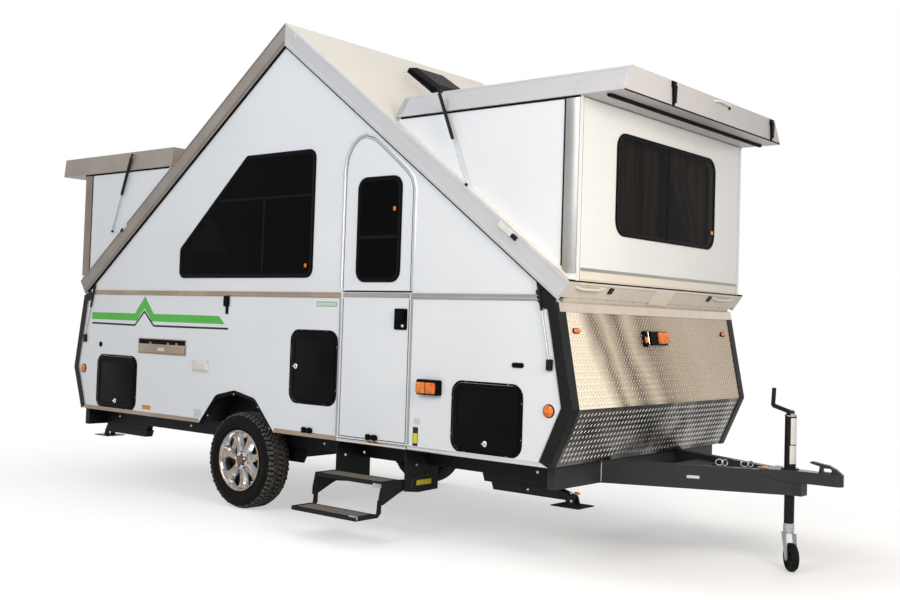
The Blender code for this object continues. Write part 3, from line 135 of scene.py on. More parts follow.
def surface(name, colour, roughness, metallic=0.0, ior=1.5, tone=None, tone_mm=400, tone_share=0.5,
            spread=0.06, grain_mm=2.0, grain_depth_mm=0.02, stretch=(1, 1, 1), drift=(1, 1, 1), coat=0.0,
            alpha=1.0, specular=0.5):
    """A material with patches of a second tone, uneven gloss and a fine grain.

    tone_mm and grain_mm are the sizes of the patches and of the grain. drift and stretch below 1 draw them
    out along an axis.
    """
    material = bpy.data.materials.new(name)
    material.use_nodes = True
    tree = material.node_tree
    shader = tree.nodes["Principled BSDF"]
    place = add(tree, "TexCoord").outputs["Object"]
    moved = add(tree, "Mapping", {"Vector": place, "Scale": drift})
    patches = add(tree, "TexNoise",
                  {"Vector": moved.outputs["Vector"], "Scale": 1000 / tone_mm, "Detail": 4.0})
    share = add(tree, "MapRange", {"Value": patches.outputs["Fac"], "From Min": 0.35, "From Max": 0.65,
                                   "To Min": 0.0, "To Max": tone_share})
    mixed = add(tree, "Mix", {"Factor": share.outputs["Result"]}, data_type="RGBA")
    mixed.inputs[6].default_value = srgb(colour)
    mixed.inputs[7].default_value = srgb(tone or colour)
    tree.links.new(mixed.outputs[2], shader.inputs["Base Color"])
    drawn = add(tree, "Mapping", {"Vector": place, "Scale": stretch})
    grain = add(tree, "TexNoise",
                {"Vector": drawn.outputs["Vector"], "Scale": 1000 / grain_mm, "Detail": 3.0})
    gloss = add(tree, "MapRange", {"Value": grain.outputs["Fac"], "From Min": 0.3, "From Max": 0.7,
                                   "To Min": max(roughness - spread, 0.02), "To Max": roughness + spread})
    tree.links.new(gloss.outputs["Result"], shader.inputs["Roughness"])
    bump = add(tree, "Bump", {"Height": grain.outputs["Fac"], "Distance": grain_depth_mm / 1000})
    tree.links.new(bump.outputs["Normal"], shader.inputs["Normal"])
    for key, value in (("Metallic", metallic), ("IOR", ior), ("Alpha", alpha), ("Coat Weight", coat),
                       ("Specular IOR Level", specular)):
        shader.inputs[key].default_value = value
    material.diffuse_color = srgb(colour)
    return material


def nodes_of(material):
    """A material's node tree, its shader and what feeds the shader's colour."""
    tree = material.node_tree
    shader = tree.nodes["Principled BSDF"]
    return tree, shader, shader.inputs["Base Color"].links[0].from_socket


# Sprayed gelcoat over thin composite: glossy, nearly flat, with the faint waviness of a laminated panel
white_skin = surface("gelcoat_white", "#E6E9EC", 0.24, tone="#DDE1E5", tone_mm=700, grain_mm=60,
                     grain_depth_mm=0.25, spread=0.03, coat=0.15, specular=0.35)
# The same panels on the roof: creamier and duller
roof_skin = surface("gelcoat_roof", "#E8E2D8", 0.38, tone="#DCD5C9", tone_mm=500, grain_mm=45,
                    grain_depth_mm=0.25, spread=0.05, specular=0.3)
# A copy for the rear half, whose skirts get painted shade and a painted tan reflection
roof_skin_rear = surface("gelcoat_roof_rear", "#E8E2D8", 0.38, tone="#DCD5C9", tone_mm=500, grain_mm=45,
                         grain_depth_mm=0.25, spread=0.05, specular=0.3)
# Folded aluminium sheet with a satin enamel, on the front lid: flat light grey
lid_enamel = surface("aluminium_enamelled", "#C3C3C6", 0.40, tone="#BABABC", tone_mm=350, spread=0.06,
                     grain_mm=30, grain_depth_mm=0.15, specular=0.3)
# The same sheet on the rear lid, painted taupe and darker with a metal shine: painted shade and reflection
lid_shaded_tan = surface("aluminium_shaded_tan", "#A29A91", 0.42, 0.45, tone="#8F877E", tone_mm=260, spread=0.08,
                        grain_mm=30, grain_depth_mm=0.15, specular=0.3)
# Mill-finish aluminium extrusions: soft grey shine with drawing lines along the length
aluminium = surface("aluminium_extruded", "#A6A4A1", 0.38, 1.0, tone="#938F8B", tone_mm=300, spread=0.10,
                    grain_mm=3.0, grain_depth_mm=0.02, stretch=(0.04, 1, 1))
# The same extrusions, painted brighter on the front edges and rails: a lit copy, painted light
aluminium_lit = surface("aluminium_lit", "#CDCDCF", 0.36, 1.0, tone="#BDBCBD", tone_mm=300, spread=0.10,
                           grain_mm=3.0, grain_depth_mm=0.02, stretch=(0.04, 1, 1))
# Extrusions towards the rear and the vent cover, painted tan: a painted reflection of warm surroundings
aluminium_reflecting_tan = surface("aluminium_painted_tan_reflection", "#A79583", 0.42, 0.85, tone="#877768", tone_mm=200,
                        spread=0.10, grain_mm=3.0, grain_depth_mm=0.02, stretch=(0.04, 1, 1))
# The rear edges and posts, painted darker still: painted shade with a painted tan reflection
aluminium_shaded_rear = surface("aluminium_shaded_rear", "#8C8076", 0.42, 0.85, tone="#796D63", tone_mm=240, spread=0.10,
                          grain_mm=3.0, grain_depth_mm=0.02, stretch=(0.04, 1, 1))
# Creamy strip over the tread plate: the same extrusion, in a creamy tone
aluminium_cream = surface("aluminium_warm", "#DDD0C0", 0.40, 1.0, tone="#CBBDAD", tone_mm=200, spread=0.10,
                          grain_mm=3.0, grain_depth_mm=0.02, stretch=(1, 0.04, 1))
# Bright rolled aluminium tread plate, warm, with upright darker waves: painted reflections of the thin
# sheet's waves
tread_plate = surface("aluminium_tread_plate", "#D2C2AD", 0.34, 1.0, tone="#B8A693", tone_mm=330,
                      spread=0.08, grain_mm=4.0, grain_depth_mm=0.03, drift=(1, 1, 0.22))
# The plate's raised lozenges: brighter than the ground between them, partly scuffed, partly a painted
# highlight
tread_raised = surface("aluminium_tread_raised", "#DCCBB3", 0.26, 1.0, tone="#C2B097", tone_mm=60,
                       spread=0.08, grain_mm=4.0, grain_depth_mm=0.03)
# A lit copy for the rows between them below the knee: painted highlight
tread_raised_lit = surface("aluminium_tread_raised_painted_light", "#F2EFEA", 0.24, 1.0, tone="#CFC8C0", tone_mm=60,
                           spread=0.08, grain_mm=4.0, grain_depth_mm=0.03)
# Below the knee, a shaded copy for the rows that face the dark ground: painted shade
tread_raised_shaded = surface("aluminium_tread_raised_painted_shade", "#6B6661", 0.26, 1.0, tone="#4A4846", tone_mm=60,
                            spread=0.08, grain_mm=4.0, grain_depth_mm=0.03)
# Powder-coated steel, dark grey with a fine orange peel: the lit copy on the tongue, painted light
frame_paint = surface("steel_powder_coated", "#2C2F31", 0.50, tone="#242729", tone_mm=150, spread=0.08,
                      grain_mm=2.5, grain_depth_mm=0.08, specular=0.22)
# The same coat painted near black on the body's frame, the steps and the stabilisers: a shaded copy, painted
# shade
frame_shaded = surface("steel_powder_coated_shaded", "#161719", 0.55, tone="#1F1F20", tone_mm=120, spread=0.08,
                      grain_mm=2.5, grain_depth_mm=0.08, specular=0.16)
# Satin black vinyl-faced corner trim
trim_black = surface("trim_black", "#0F1011", 0.42, tone="#18191A", tone_mm=220, spread=0.08,
                     grain_mm=1.6, grain_depth_mm=0.05, specular=0.16)
# Moulded black ABS with a leather-fine grain
abs_black = surface("abs_black_grained", "#070708", 0.44, tone="#0B0C0C", tone_mm=120, spread=0.08,
                    grain_mm=1.4, grain_depth_mm=0.08, specular=0.05)
# EPDM seals: matt, slightly dusty
rubber_black = surface("rubber_seal", "#0B0B0C", 0.75, tone="#131315", tone_mm=60, spread=0.10,
                       grain_mm=1.0, grain_depth_mm=0.05, specular=0.10)
# Tyre rubber: smooth matt charcoal on the wall of the tyre
tyre_rubber = surface("rubber_tyre", "#0E0E0E", 0.70, tone="#171615", tone_mm=60, tone_share=0.5, spread=0.10,
                      grain_mm=1.2, grain_depth_mm=0.06, specular=0.10)
# Tread blocks: the same rubber, specked with pale grit and dust
tyre_dusty = surface("rubber_tread_dusty", "#242424", 0.85, tone="#8B867F", tone_mm=9, tone_share=0.62,
                     spread=0.08, grain_mm=3.0, grain_depth_mm=0.25, specular=0.12)
# Tinted acrylic: near black, glassy, lets a little of the curtain through
acrylic_tinted = surface("acrylic_tinted", "#060607", 0.06, ior=1.49, tone="#0A0A0B", tone_mm=300,
                         spread=0.02, grain_mm=120, grain_depth_mm=0.05, alpha=0.55, specular=0.05)
# The gable and door panes are tinted deeper
acrylic_deep = surface("acrylic_tinted_deep", "#050506", 0.06, ior=1.49, tone="#080809", tone_mm=300,
                       spread=0.02, grain_mm=120, grain_depth_mm=0.05, alpha=0.90, specular=0.03)
# Zinc-plated steel: bluish grey with spangle
zinc = surface("steel_zinc_plated", "#B4B9BD", 0.32, 1.0, tone="#868E93", tone_mm=12, spread=0.10,
               grain_mm=1.5, grain_depth_mm=0.02)
# Die-cast chrome for locks and handles
chrome = surface("chrome", "#D6D8DA", 0.10, 1.0, tone="#C9CBCE", tone_mm=30, spread=0.04,
                 grain_mm=6.0, grain_depth_mm=0.01)
# Cast alloy under clear lacquer: bright silver
alloy = surface("aluminium_cast_lacquered", "#CFD0D2", 0.20, 1.0, tone="#A3A4A7", tone_mm=45, tone_share=0.8,
                spread=0.06, grain_mm=1.2, grain_depth_mm=0.01, coat=0.4)
# Its machined faces and the rim's lip, painted warm brown: a painted reflection
alloy_faces = surface("aluminium_cast_machined", "#AC9A89", 0.24, 1.0, tone="#7D6B5B", tone_mm=35,
                      tone_share=0.8, spread=0.06, grain_mm=1.2, grain_depth_mm=0.01, coat=0.4)
# The centre cap, darker brown
cap_brown = surface("cap_lacquered", "#7A6254", 0.28, 0.8, tone="#5E4A3F", tone_mm=30, spread=0.06,
                    grain_mm=1.2, grain_depth_mm=0.01)
# Dull black iron for the brake and hub behind the wheel, also painted shade behind the spokes and under the
# nuts
iron_and_painted_shade = surface("cast_iron_and_painted_shade", "#151516", 0.65, tone="#24211F", tone_mm=30, spread=0.10,
                      grain_mm=2.0, grain_depth_mm=0.20, specular=0.2)
# Moulded white ABS handles
abs_white = surface("abs_white", "#DEDCD7", 0.40, tone="#D2CFC8", tone_mm=60, spread=0.06,
                    grain_mm=1.6, grain_depth_mm=0.05, specular=0.3)
# Smoked polycarbonate vent dome
vent_dome = surface("polycarbonate_smoked", "#0D0D0E", 0.45, ior=1.58, tone="#080809", tone_mm=120,
                    spread=0.08, grain_mm=20, grain_depth_mm=0.10, specular=0.04)
# Amber and red PMMA lenses: saturated, with lighter patches as painted highlights where light would get in
lens_amber = surface("lens_amber", "#D9581A", 0.20, ior=1.49, tone="#F2A04A", tone_mm=16, tone_share=0.7,
                     spread=0.05, grain_mm=6.0, grain_depth_mm=0.35, coat=0.15, specular=0.25)
lens_red = surface("lens_red", "#A3140F", 0.20, ior=1.49, tone="#C42A1E", tone_mm=14, spread=0.05,
                   grain_mm=6.0, grain_depth_mm=0.35, coat=0.15, specular=0.25)
# Cast vinyl films: thin, satin, slightly orange-peeled over the gelcoat
film_green = surface("vinyl_green", "#58BC4C", 0.36, tone="#51B346", tone_mm=200, spread=0.05,
                     grain_mm=8.0, grain_depth_mm=0.04, specular=0.25)
film_charcoal = surface("vinyl_charcoal", "#1E2123", 0.38, tone="#26292B", tone_mm=200, spread=0.05,
                        grain_mm=8.0, grain_depth_mm=0.04, specular=0.2)
film_yellow = surface("vinyl_yellow", "#E0D62E", 0.42, tone="#D2C72A", tone_mm=40, spread=0.06,
                      grain_mm=4.0, grain_depth_mm=0.04, specular=0.25)
film_orange = surface("vinyl_orange", "#D99438", 0.42, tone="#C98230", tone_mm=40, spread=0.06,
                      grain_mm=4.0, grain_depth_mm=0.04, specular=0.25)
film_white = surface("vinyl_white", "#D2D2D0", 0.45, tone="#BFBEBB", tone_mm=30, spread=0.06,
                     grain_mm=4.0, grain_depth_mm=0.04, specular=0.25)
# Woven polyester curtain: brown with a visible thread
curtain_cloth = surface("polyester_woven", "#9A8574", 0.88, tone="#2E2722", tone_mm=70, tone_share=0.95,
                        drift=(1, 1, 0.06), spread=0.05, grain_mm=1.5, grain_depth_mm=0.30, specular=0.15)
# Underbody membrane: black woven polyethylene
membrane = surface("polyethylene_membrane", "#111213", 0.60, tone="#1A1B1D", tone_mm=90, spread=0.10,
                   grain_mm=3.0, grain_depth_mm=0.20, specular=0.2)
# Grit paper on the step treads, drawn coarser than real so that it shows
tread_grit = surface("step_tread_grit", "#55504B", 0.85, tone="#8F867D", tone_mm=7, tone_share=0.9,
                     spread=0.08, grain_mm=3.0, grain_depth_mm=0.60, specular=0.15)
# Yellow-passivated brass of the snap hook
brass = surface("brass", "#B98A55", 0.30, 1.0, tone="#94683C", tone_mm=12, spread=0.08, grain_mm=2.0,
                grain_depth_mm=0.02)


def edge_with_sheet(material, along_slope, at_foot):
    """Colours a roof half's skirts as folded sheet: one pair beside the slope, one at its lower end."""
    tree, shader, colour = nodes_of(material)
    place = add(tree, "TexCoord").outputs["Object"]
    split = add(tree, "SeparateXYZ", {"Vector": place})
    off_centre = add(tree, "Math", {0: split.outputs["Y"], 1: SHIFT.y}, operation="SUBTRACT")
    away = add(tree, "Math", {0: off_centre.outputs[0]}, operation="ABSOLUTE")
    beside = add(tree, "Math", {0: away.outputs[0], 1: ROOF_HALF_W - SKIRT_T}, operation="GREATER_THAN")
    off_ridge = add(tree, "Math", {0: split.outputs["X"], 1: SHIFT.x + APEX_X}, operation="SUBTRACT")
    run = add(tree, "Math", {0: off_ridge.outputs[0]}, operation="ABSOLUTE")
    level = add(tree, "Math", {0: run.outputs[0], 1: math.cos(ROOF_SLOPE)}, operation="MULTIPLY")
    fall = add(tree, "Math", {0: SHIFT.z + APEX_Z, 1: split.outputs["Z"]}, operation="SUBTRACT")
    drop = add(tree, "Math", {0: fall.outputs[0], 1: math.sin(ROOF_SLOPE)}, operation="MULTIPLY")
    down = add(tree, "Math", {0: level.outputs[0], 1: drop.outputs[0]}, operation="ADD")
    below = add(tree, "Math", {0: down.outputs[0], 1: SLOPE_RUN - SKIRT_T}, operation="GREATER_THAN")
    clouds = add(tree, "TexNoise", {"Vector": place, "Scale": 5.0, "Detail": 4.0})
    for share, (light, dark) in ((below, at_foot), (beside, along_slope)):
        metal = add(tree, "Mix", {"Factor": clouds.outputs["Fac"]}, data_type="RGBA")
        metal.inputs[6].default_value = srgb(light)
        metal.inputs[7].default_value = srgb(dark)
        mixed = add(tree, "Mix", {"Factor": share.outputs[0]}, data_type="RGBA")
        tree.links.new(colour, mixed.inputs[6])
        tree.links.new(metal.outputs[2], mixed.inputs[7])
        colour = mixed.outputs[2]
    tree.links.new(colour, shader.inputs["Base Color"])


def reflected_bands_above_knee(material, bands):
    """Paints the upper tread plate with bright and dark bands from one side to the other: painted
    reflections.
    """
    tree, shader, _ = nodes_of(material)
    place = add(tree, "TexCoord").outputs["Object"]
    split = add(tree, "SeparateXYZ", {"Vector": place})
    lean = add(tree, "Math", {0: split.outputs["Z"], 1: BAND_LEAN}, operation="MULTIPLY")
    aside = add(tree, "Math", {0: split.outputs["Y"], 1: lean.outputs[0]}, operation="ADD")
    waves = add(tree, "TexNoise", {"Vector": place, "Scale": 3.0, "Detail": 2.0})
    wavy = add(tree, "Math", {0: waves.outputs["Fac"], 1: 0.22}, operation="MULTIPLY")
    along = add(tree, "Math", {0: aside.outputs[0], 1: wavy.outputs[0]}, operation="ADD")
    middle = SHIFT.y + BAND_LEAN * (SHIFT.z + 1.16) + 0.11
    share = add(tree, "MapRange", {"Value": along.outputs[0], "From Min": middle - HALF_W,
                                   "From Max": middle + HALF_W})
    ramp = add(tree, "ValToRGB", {"Fac": share.outputs["Result"]})
    stops = ramp.color_ramp.elements
    for _ in bands[2:]:
        stops.new(0.5)
    for stop, (spot, colour) in zip(stops, bands):
        stop.position, stop.color = spot, srgb(colour)
    tree.links.new(ramp.outputs["Color"], shader.inputs["Base Color"])


def darken_below_knee(material, light, dark):
    """Below the knee: a painted reflection of the ground, darker and cloudy, with painted light by the door.
    """
    tree, shader, colour = nodes_of(material)
    place = add(tree, "TexCoord").outputs["Object"]
    split = add(tree, "SeparateXYZ", {"Vector": place})
    below = add(tree, "Math", {0: split.outputs["Z"], 1: KNEE_Z + SHIFT.z}, operation="LESS_THAN")
    clouds = add(tree, "TexNoise", {"Vector": place, "Scale": 4.0, "Detail": 2.0})
    # Painted light: lighter towards the door side
    door_side_light = add(tree, "MapRange", {"Value": split.outputs["Y"], "From Min": SHIFT.y - HALF_W,
                                     "From Max": SHIFT.y - 0.5, "To Min": -0.20, "To Max": 0.02})
    shaded = add(tree, "Math", {0: clouds.outputs["Fac"], 1: door_side_light.outputs["Result"]}, operation="ADD")
    share = add(tree, "MapRange", {"Value": shaded.outputs[0], "From Min": 0.40, "From Max": 0.56})
    metal = add(tree, "Mix", {"Factor": share.outputs["Result"]}, data_type="RGBA")
    metal.inputs[6].default_value = srgb(light)
    metal.inputs[7].default_value = srgb(dark)
    mixed = add(tree, "Mix", {"Factor": below.outputs[0]}, data_type="RGBA")
    tree.links.new(colour, mixed.inputs[6])
    tree.links.new(metal.outputs[2], mixed.inputs[7])
    tree.links.new(mixed.outputs[2], shader.inputs["Base Color"])


axle_low, axle_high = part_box("tyre_right")
SHIFT = Vector(((axle_low.x + axle_high.x) / 2,
                (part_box("wall_right_rear")[0].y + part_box("wall_left")[1].y) / 2, -GROUND_Z))
edge_with_sheet(roof_skin, ("#CBCCCE", "#C1C2C5"), ("#DAD5CD", "#CAC5BC"))
# Rear skirts painted darker and taupe: painted shade and a painted reflection
edge_with_sheet(roof_skin_rear, ("#A8A29D", "#857A71"), ("#978B80", "#7D7268"))
# Painted reflections: bright and dark bands across the upper tread plate
reflected_bands_above_knee(tread_plate, [(0.0, "#FFF3DC"), (0.13, "#FFF0D8"), (0.20, "#7A6E61"), (0.25, "#CDBDA6"),
                              (0.31, "#63594F"), (0.38, "#C9B9A3"), (0.45, "#7F7264"), (0.56, "#A99986"),
                              (0.75, "#B3A391"), (1.0, "#A59685")])
# Painted reflection of the ground below the knee
darken_below_knee(tread_plate, "#7C7772", "#27292C")

FINISHES = {
    "wall": white_skin, "gable": white_skin, "door": white_skin, "dormer": white_skin, "tail": white_skin,
    "roof_front": roof_skin, "roof_rear": roof_skin_rear, "dormer_lid_front": lid_enamel,
    "dormer_lid_rear": lid_shaded_tan, "nose": tread_plate, "floor": membrane, "hatch": abs_black,
    # Parts under the body take the shaded copy, the tongue and front crossmember the lit one
    "main_rail": frame_shaded, "crossmember": frame_shaded, "crossmember_front": frame_paint,
    "tongue": frame_paint, "coupler": frame_paint, "axle": frame_shaded, "stabiliser": frame_shaded,
    "step": frame_shaded, "jack_tube": trim_black, "jack_leg": trim_black, "jack_fork": zinc,
    "jack_wheel": tyre_rubber, "roof_vent": abs_white, "roof_vent_lid": vent_dome, "wheel": alloy,
    "tyre": tyre_rubber, "gable_window": acrylic_deep, "door_window": acrylic_deep,
    "dormer_front_window": acrylic_tinted, "dormer_rear_window": acrylic_tinted,
}
for name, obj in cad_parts.items():
    fitting = max((key for key in FINISHES if name.startswith(key)), key=len)
    obj.data.materials.clear()
    obj.data.materials.append(FINISHES[fitting])


class Face:
    """A flat side of the trailer: a point on it, two directions along it and the way out."""

    def __init__(self, origin, along, up, out):
        self.origin, self.along = Vector(origin), Vector(along).normalized()
        self.up, self.out = Vector(up).normalized(), Vector(out).normalized()

    def at(self, u, v, out=0.0):
        return self.origin + self.along * u + self.up * v + self.out * out


def side_face(y):
    """The outer side of a wall that stands at y, drawn in x and z."""
    return Face((0, y, 0), (1, 0, 0), (0, 0, 1), (0, math.copysign(1, y), 0))


def end_face(x, out):
    """An upright wall across the trailer at x, drawn in y and z."""
    return Face((x, 0, 0), (0, 1, 0), (0, 0, 1), (out, 0, 0))


def sloped_face(foot, top, out):
    """A sloping panel from foot to top, both (x, z), drawn in y and the distance from its foot."""
    up = Vector((top[0] - foot[0], 0, top[1] - foot[1])).normalized()
    return Face((foot[0], 0, foot[1]), (0, 1, 0), up, (up.z * out, 0, -up.x * out))


def roof_face(side):
    """A roof half, drawn in y and the distance down from the ridge."""
    down = Vector((side * math.cos(ROOF_SLOPE), 0, -math.sin(ROOF_SLOPE)))
    return Face((APEX_X, 0, APEX_Z), (0, 1, 0), down, (side * math.sin(ROOF_SLOPE), 0, math.cos(ROOF_SLOPE)))


RIGHT, LEFT = side_face(-HALF_W), side_face(HALF_W)
FRONT_WALL, REAR_WALL = end_face(FRONT_WALL_X, 1), end_face(REAR_WALL_X, -1)
NOSE = sloped_face((NOSE_KNEE_X, KNEE_Z), (NOSE_TOP_X, NOSE_TOP_Z), 1)
NOSE_LOW = sloped_face((NOSE_FOOT_X, FLOOR_Z), (NOSE_KNEE_X, KNEE_Z), 1)
TAIL = sloped_face((TAIL_KNEE_X, KNEE_Z), (TAIL_TOP_X, NOSE_TOP_Z), -1)
TAIL_LOW = sloped_face((TAIL_FOOT_X, FLOOR_Z), (TAIL_KNEE_X, KNEE_Z), -1)
ROOF_FRONT, ROOF_REAR = roof_face(1), roof_face(-1)


def rounded(corners, radii, steps=5):
    """An outline with each corner drawn as an arc."""
    made = []
    count = len(corners)
    for k, corner in enumerate(corners):
        here = Vector(corner)
        radius = radii[k] if hasattr(radii, "__len__") else radii
        if radius <= 0:
            made.append(tuple(here))
            continue
        back = (Vector(corners[k - 1]) - here).normalized()
        ahead = (Vector(corners[(k + 1) % count]) - here).normalized()
        half = back.angle(ahead) / 2
        reach = radius / math.tan(half)
        centre = here + (back + ahead).normalized() * (radius / math.sin(half))
        start, end = here + back * reach - centre, here + ahead * reach - centre
        turn = start.angle_signed(end)
        for step in range(steps + 1):
            angle = -turn * step / steps
            made.append(tuple(centre + Matrix.Rotation(angle, 2) @ start))
    return made


def rectangle(low_u, high_u, low_v, high_v, radius, steps=5):
    return rounded([(low_u, low_v), (high_u, low_v), (high_u, high_v), (low_u, high_v)], radius, steps)


def shrinking(low_u, high_u, low_v, high_v, radius, steps=5):
    """Outline of a rounded box at any distance inside its edge: its corners tighten as it shrinks."""
    def at(inset):
        return rectangle(low_u + inset, high_u - inset, low_v + inset, high_v - inset,
                         max(radius - inset, 0.0004), steps)
    return at


def sideways(points, closed):
    """The way to the left of each point of a line, longer at a bend so that a parallel keeps its gap."""
    made = []
    count = len(points)
    for k in range(count):
        here = Vector(points[k])
        before = here - Vector(points[k - 1]) if closed or k else None
        after = Vector(points[(k + 1) % count]) - here if closed or k < count - 1 else None
        before, after = before or after, after or before
        before, after = before.normalized(), after.normalized()
        normal = Vector((-before.y - after.y, before.x + after.x))
        normal = normal.normalized() if normal.length > 1e-6 else Vector((-before.y, before.x))
        made.append(normal / max(normal.dot(Vector((-after.y, after.x))), 0.4))
    return made


def bridge(bm, rows, closed_rows=True, closed_across=False):
    """Faces between successive rows of points."""
    for first, second in zip(rows, rows[1:] + (rows[:1] if closed_across else [])):
        count = len(first)
        for k in range(count if closed_rows else count - 1):
            bm.faces.new((first[k], first[(k + 1) % count], second[(k + 1) % count], second[k]))


def moulding(bm, face, loop, section, filled=True, backed=False):
    """Draws a closed outline up from a face: section lists how far in and how far out each of its lines runs.

    The outline is a list of points, or what shrinking gives.
    """
    rows = []
    if callable(loop):
        for inwards, out in section:
            rows.append([bm.verts.new(face.at(*p, out)) for p in loop(inwards)])
    else:
        area = sum(a[0] * b[1] - b[0] * a[1] for a, b in zip(loop, loop[1:] + loop[:1]))
        loop = loop if area > 0 else loop[::-1]
        normals = sideways(loop, True)
        for inwards, out in section:
            rows.append([bm.verts.new(face.at(*(Vector(p) + n * inwards), out)) for p,
                         n in zip(loop, normals)])
    bridge(bm, rows)
    if filled:
        bm.faces.new(rows[-1])
    if backed:
        bm.faces.new(rows[0][::-1])


def plate(bm, face, loop, low, high, edge=0.001, backed=False):
    """A flat plate with a softened edge, from low to high above a face."""
    moulding(bm, face, loop, [(0, low), (0, high - edge), (edge, high)], backed=backed)


def strip(bm, face, path, section):
    """Draws an extrusion along an open line on a face: section lists sideways offset and height."""
    normals = sideways(path, False)
    rows = [[bm.verts.new(face.at(*(Vector(p) + n * off), out)) for off, out in section]
            for p, n in zip(path, normals)]
    bridge(bm, rows, closed_rows=False)
    bm.faces.new(rows[0])
    bm.faces.new(rows[-1][::-1])


def bar_section(width, height, edge=0.0015, low=0.0):
    """A flat bar with softened edges, lying on its face."""
    half = width / 2
    return [(-half, low), (-half, height - edge), (-half + edge, height), (half - edge, height),
            (half, height - edge), (half, low)]


def turned(bm, start, end, section, steps=24):
    """A body of revolution round the line from start: section lists distance along it and radius."""
    start, axis = Vector(start), (Vector(end) - Vector(start)).normalized()
    aside = axis.orthogonal().normalized()
    across = axis.cross(aside)
    rows = []
    for along, radius in section:
        middle = start + axis * along
        rows.append([bm.verts.new(middle + (aside * math.cos(a) + across * math.sin(a)) * radius)
                     for a in (2 * math.pi * k / steps for k in range(steps))])
    bridge(bm, rows)
    bm.faces.new(rows[0][::-1])
    bm.faces.new(rows[-1])


def pipe(bm, points, radius, steps=12, closed=False):
    """A round bar bent along a line of points."""
    points = [Vector(p) for p in points]
    count = len(points)
    aside = None
    rows = []
    for k, here in enumerate(points):
        ahead = points[(k + 1) % count] if closed or k < count - 1 else here
        behind = points[k - 1] if closed or k else here
        axis = (ahead - behind).normalized()
        aside = axis.orthogonal() if aside is None else aside - axis * aside.dot(axis)
        aside.normalize()
        across = axis.cross(aside)
        rows.append([bm.verts.new(here + (aside * math.cos(a) + across * math.sin(a)) * radius)
                     for a in (2 * math.pi * s / steps for s in range(steps))])
    bridge(bm, rows, closed_across=closed)
    if not closed:
        bm.faces.new(rows[0][::-1])
        bm.faces.new(rows[-1])


def bent(points, radius, steps=4):
    """A line of points with its inner corners rounded."""
    points = [Vector(p) for p in points]
    made = [points[0]]
    for before, here, after in zip(points, points[1:], points[2:]):
        back, ahead = (before - here).normalized(), (after - here).normalized()
        reach = min(radius, (before - here).length / 2.1, (after - here).length / 2.1)
        for step in range(steps + 1):
            t = step / steps
            made.append(here + back * reach * (1 - t) ** 2 + ahead * reach * t ** 2)
    return made + [points[-1]]


def block(bm, low, high, edge=0.002):
    """A box with softened edges, closed all round."""
    low, high = Vector(low), Vector(high)
    made = bmesh.ops.create_cube(bm, size=1.0, matrix=Matrix.Translation((low + high) / 2)
                                 @ Matrix.Diagonal((*(high - low), 1)))
    edges = list({e for v in made["verts"] for e in v.link_edges})
    bmesh.ops.bevel(bm, geom=edges, offset=edge, segments=2, affect="EDGES", clamp_overlap=True)


def heads(bm, face, spots, radius=0.006, height=0.003, base=0.0):
    """Domed screw heads."""
    for u, v in spots:
        turned(bm, face.at(u, v, base), face.at(u, v, base + 1),
               [(0, radius), (height * 0.55, radius), (height, radius * 0.55)], 10)


def dress(bm, name, body, material, sharp=35):
    """Makes a piece of the mesh in hand, in the frame's place, that moves with a body.

    The material may be a tuple, when faces name a second one.
    """
    bmesh.ops.recalc_face_normals(bm, faces=bm.faces)
    mesh = bpy.data.meshes.new(name)
    bm.to_mesh(mesh)
    bm.free()
    mesh.transform(Matrix.Translation(SHIFT))
    mesh.shade_smooth()
    mesh.set_sharp_from_angle(angle=math.radians(sharp))
    for finish in material if isinstance(material, tuple) else (material,):
        mesh.materials.append(finish)
    obj = bpy.data.objects.new(name, mesh)
    bpy.context.scene.collection.objects.link(obj)
    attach(obj, body)
    return obj


@contextmanager
def piece(name, material, body="trailer", sharp=35):
    """Gives an empty mesh to draw in, and makes a piece of what was drawn there."""
    bm = bmesh.new()
    yield bm
    dress(bm, name, body, material, sharp)


# Body trims


def wall_corner(side):
    """Middle line of the corner trim on a side wall, in x and z: front or rear."""
    if side > 0:
        foot, knee, top = (NOSE_FOOT_X, FLOOR_Z), (NOSE_KNEE_X, KNEE_Z), (NOSE_TOP_X, NOSE_TOP_Z)
        head = (WALL_FRONT_X, BELT_Z - 0.012)
    else:
        foot, knee, top = (TAIL_FOOT_X, FLOOR_Z), (TAIL_KNEE_X, KNEE_Z), (TAIL_TOP_X, NOSE_TOP_Z)
        head = (WALL_REAR_X, BELT_Z - 0.012)
    points = [foot, knee, top, head]
    away = sideways(points, False)
    return [tuple(Vector(p) + n * side * (TRIM_W / 2 + 0.001)) for p, n in zip(points, away)]


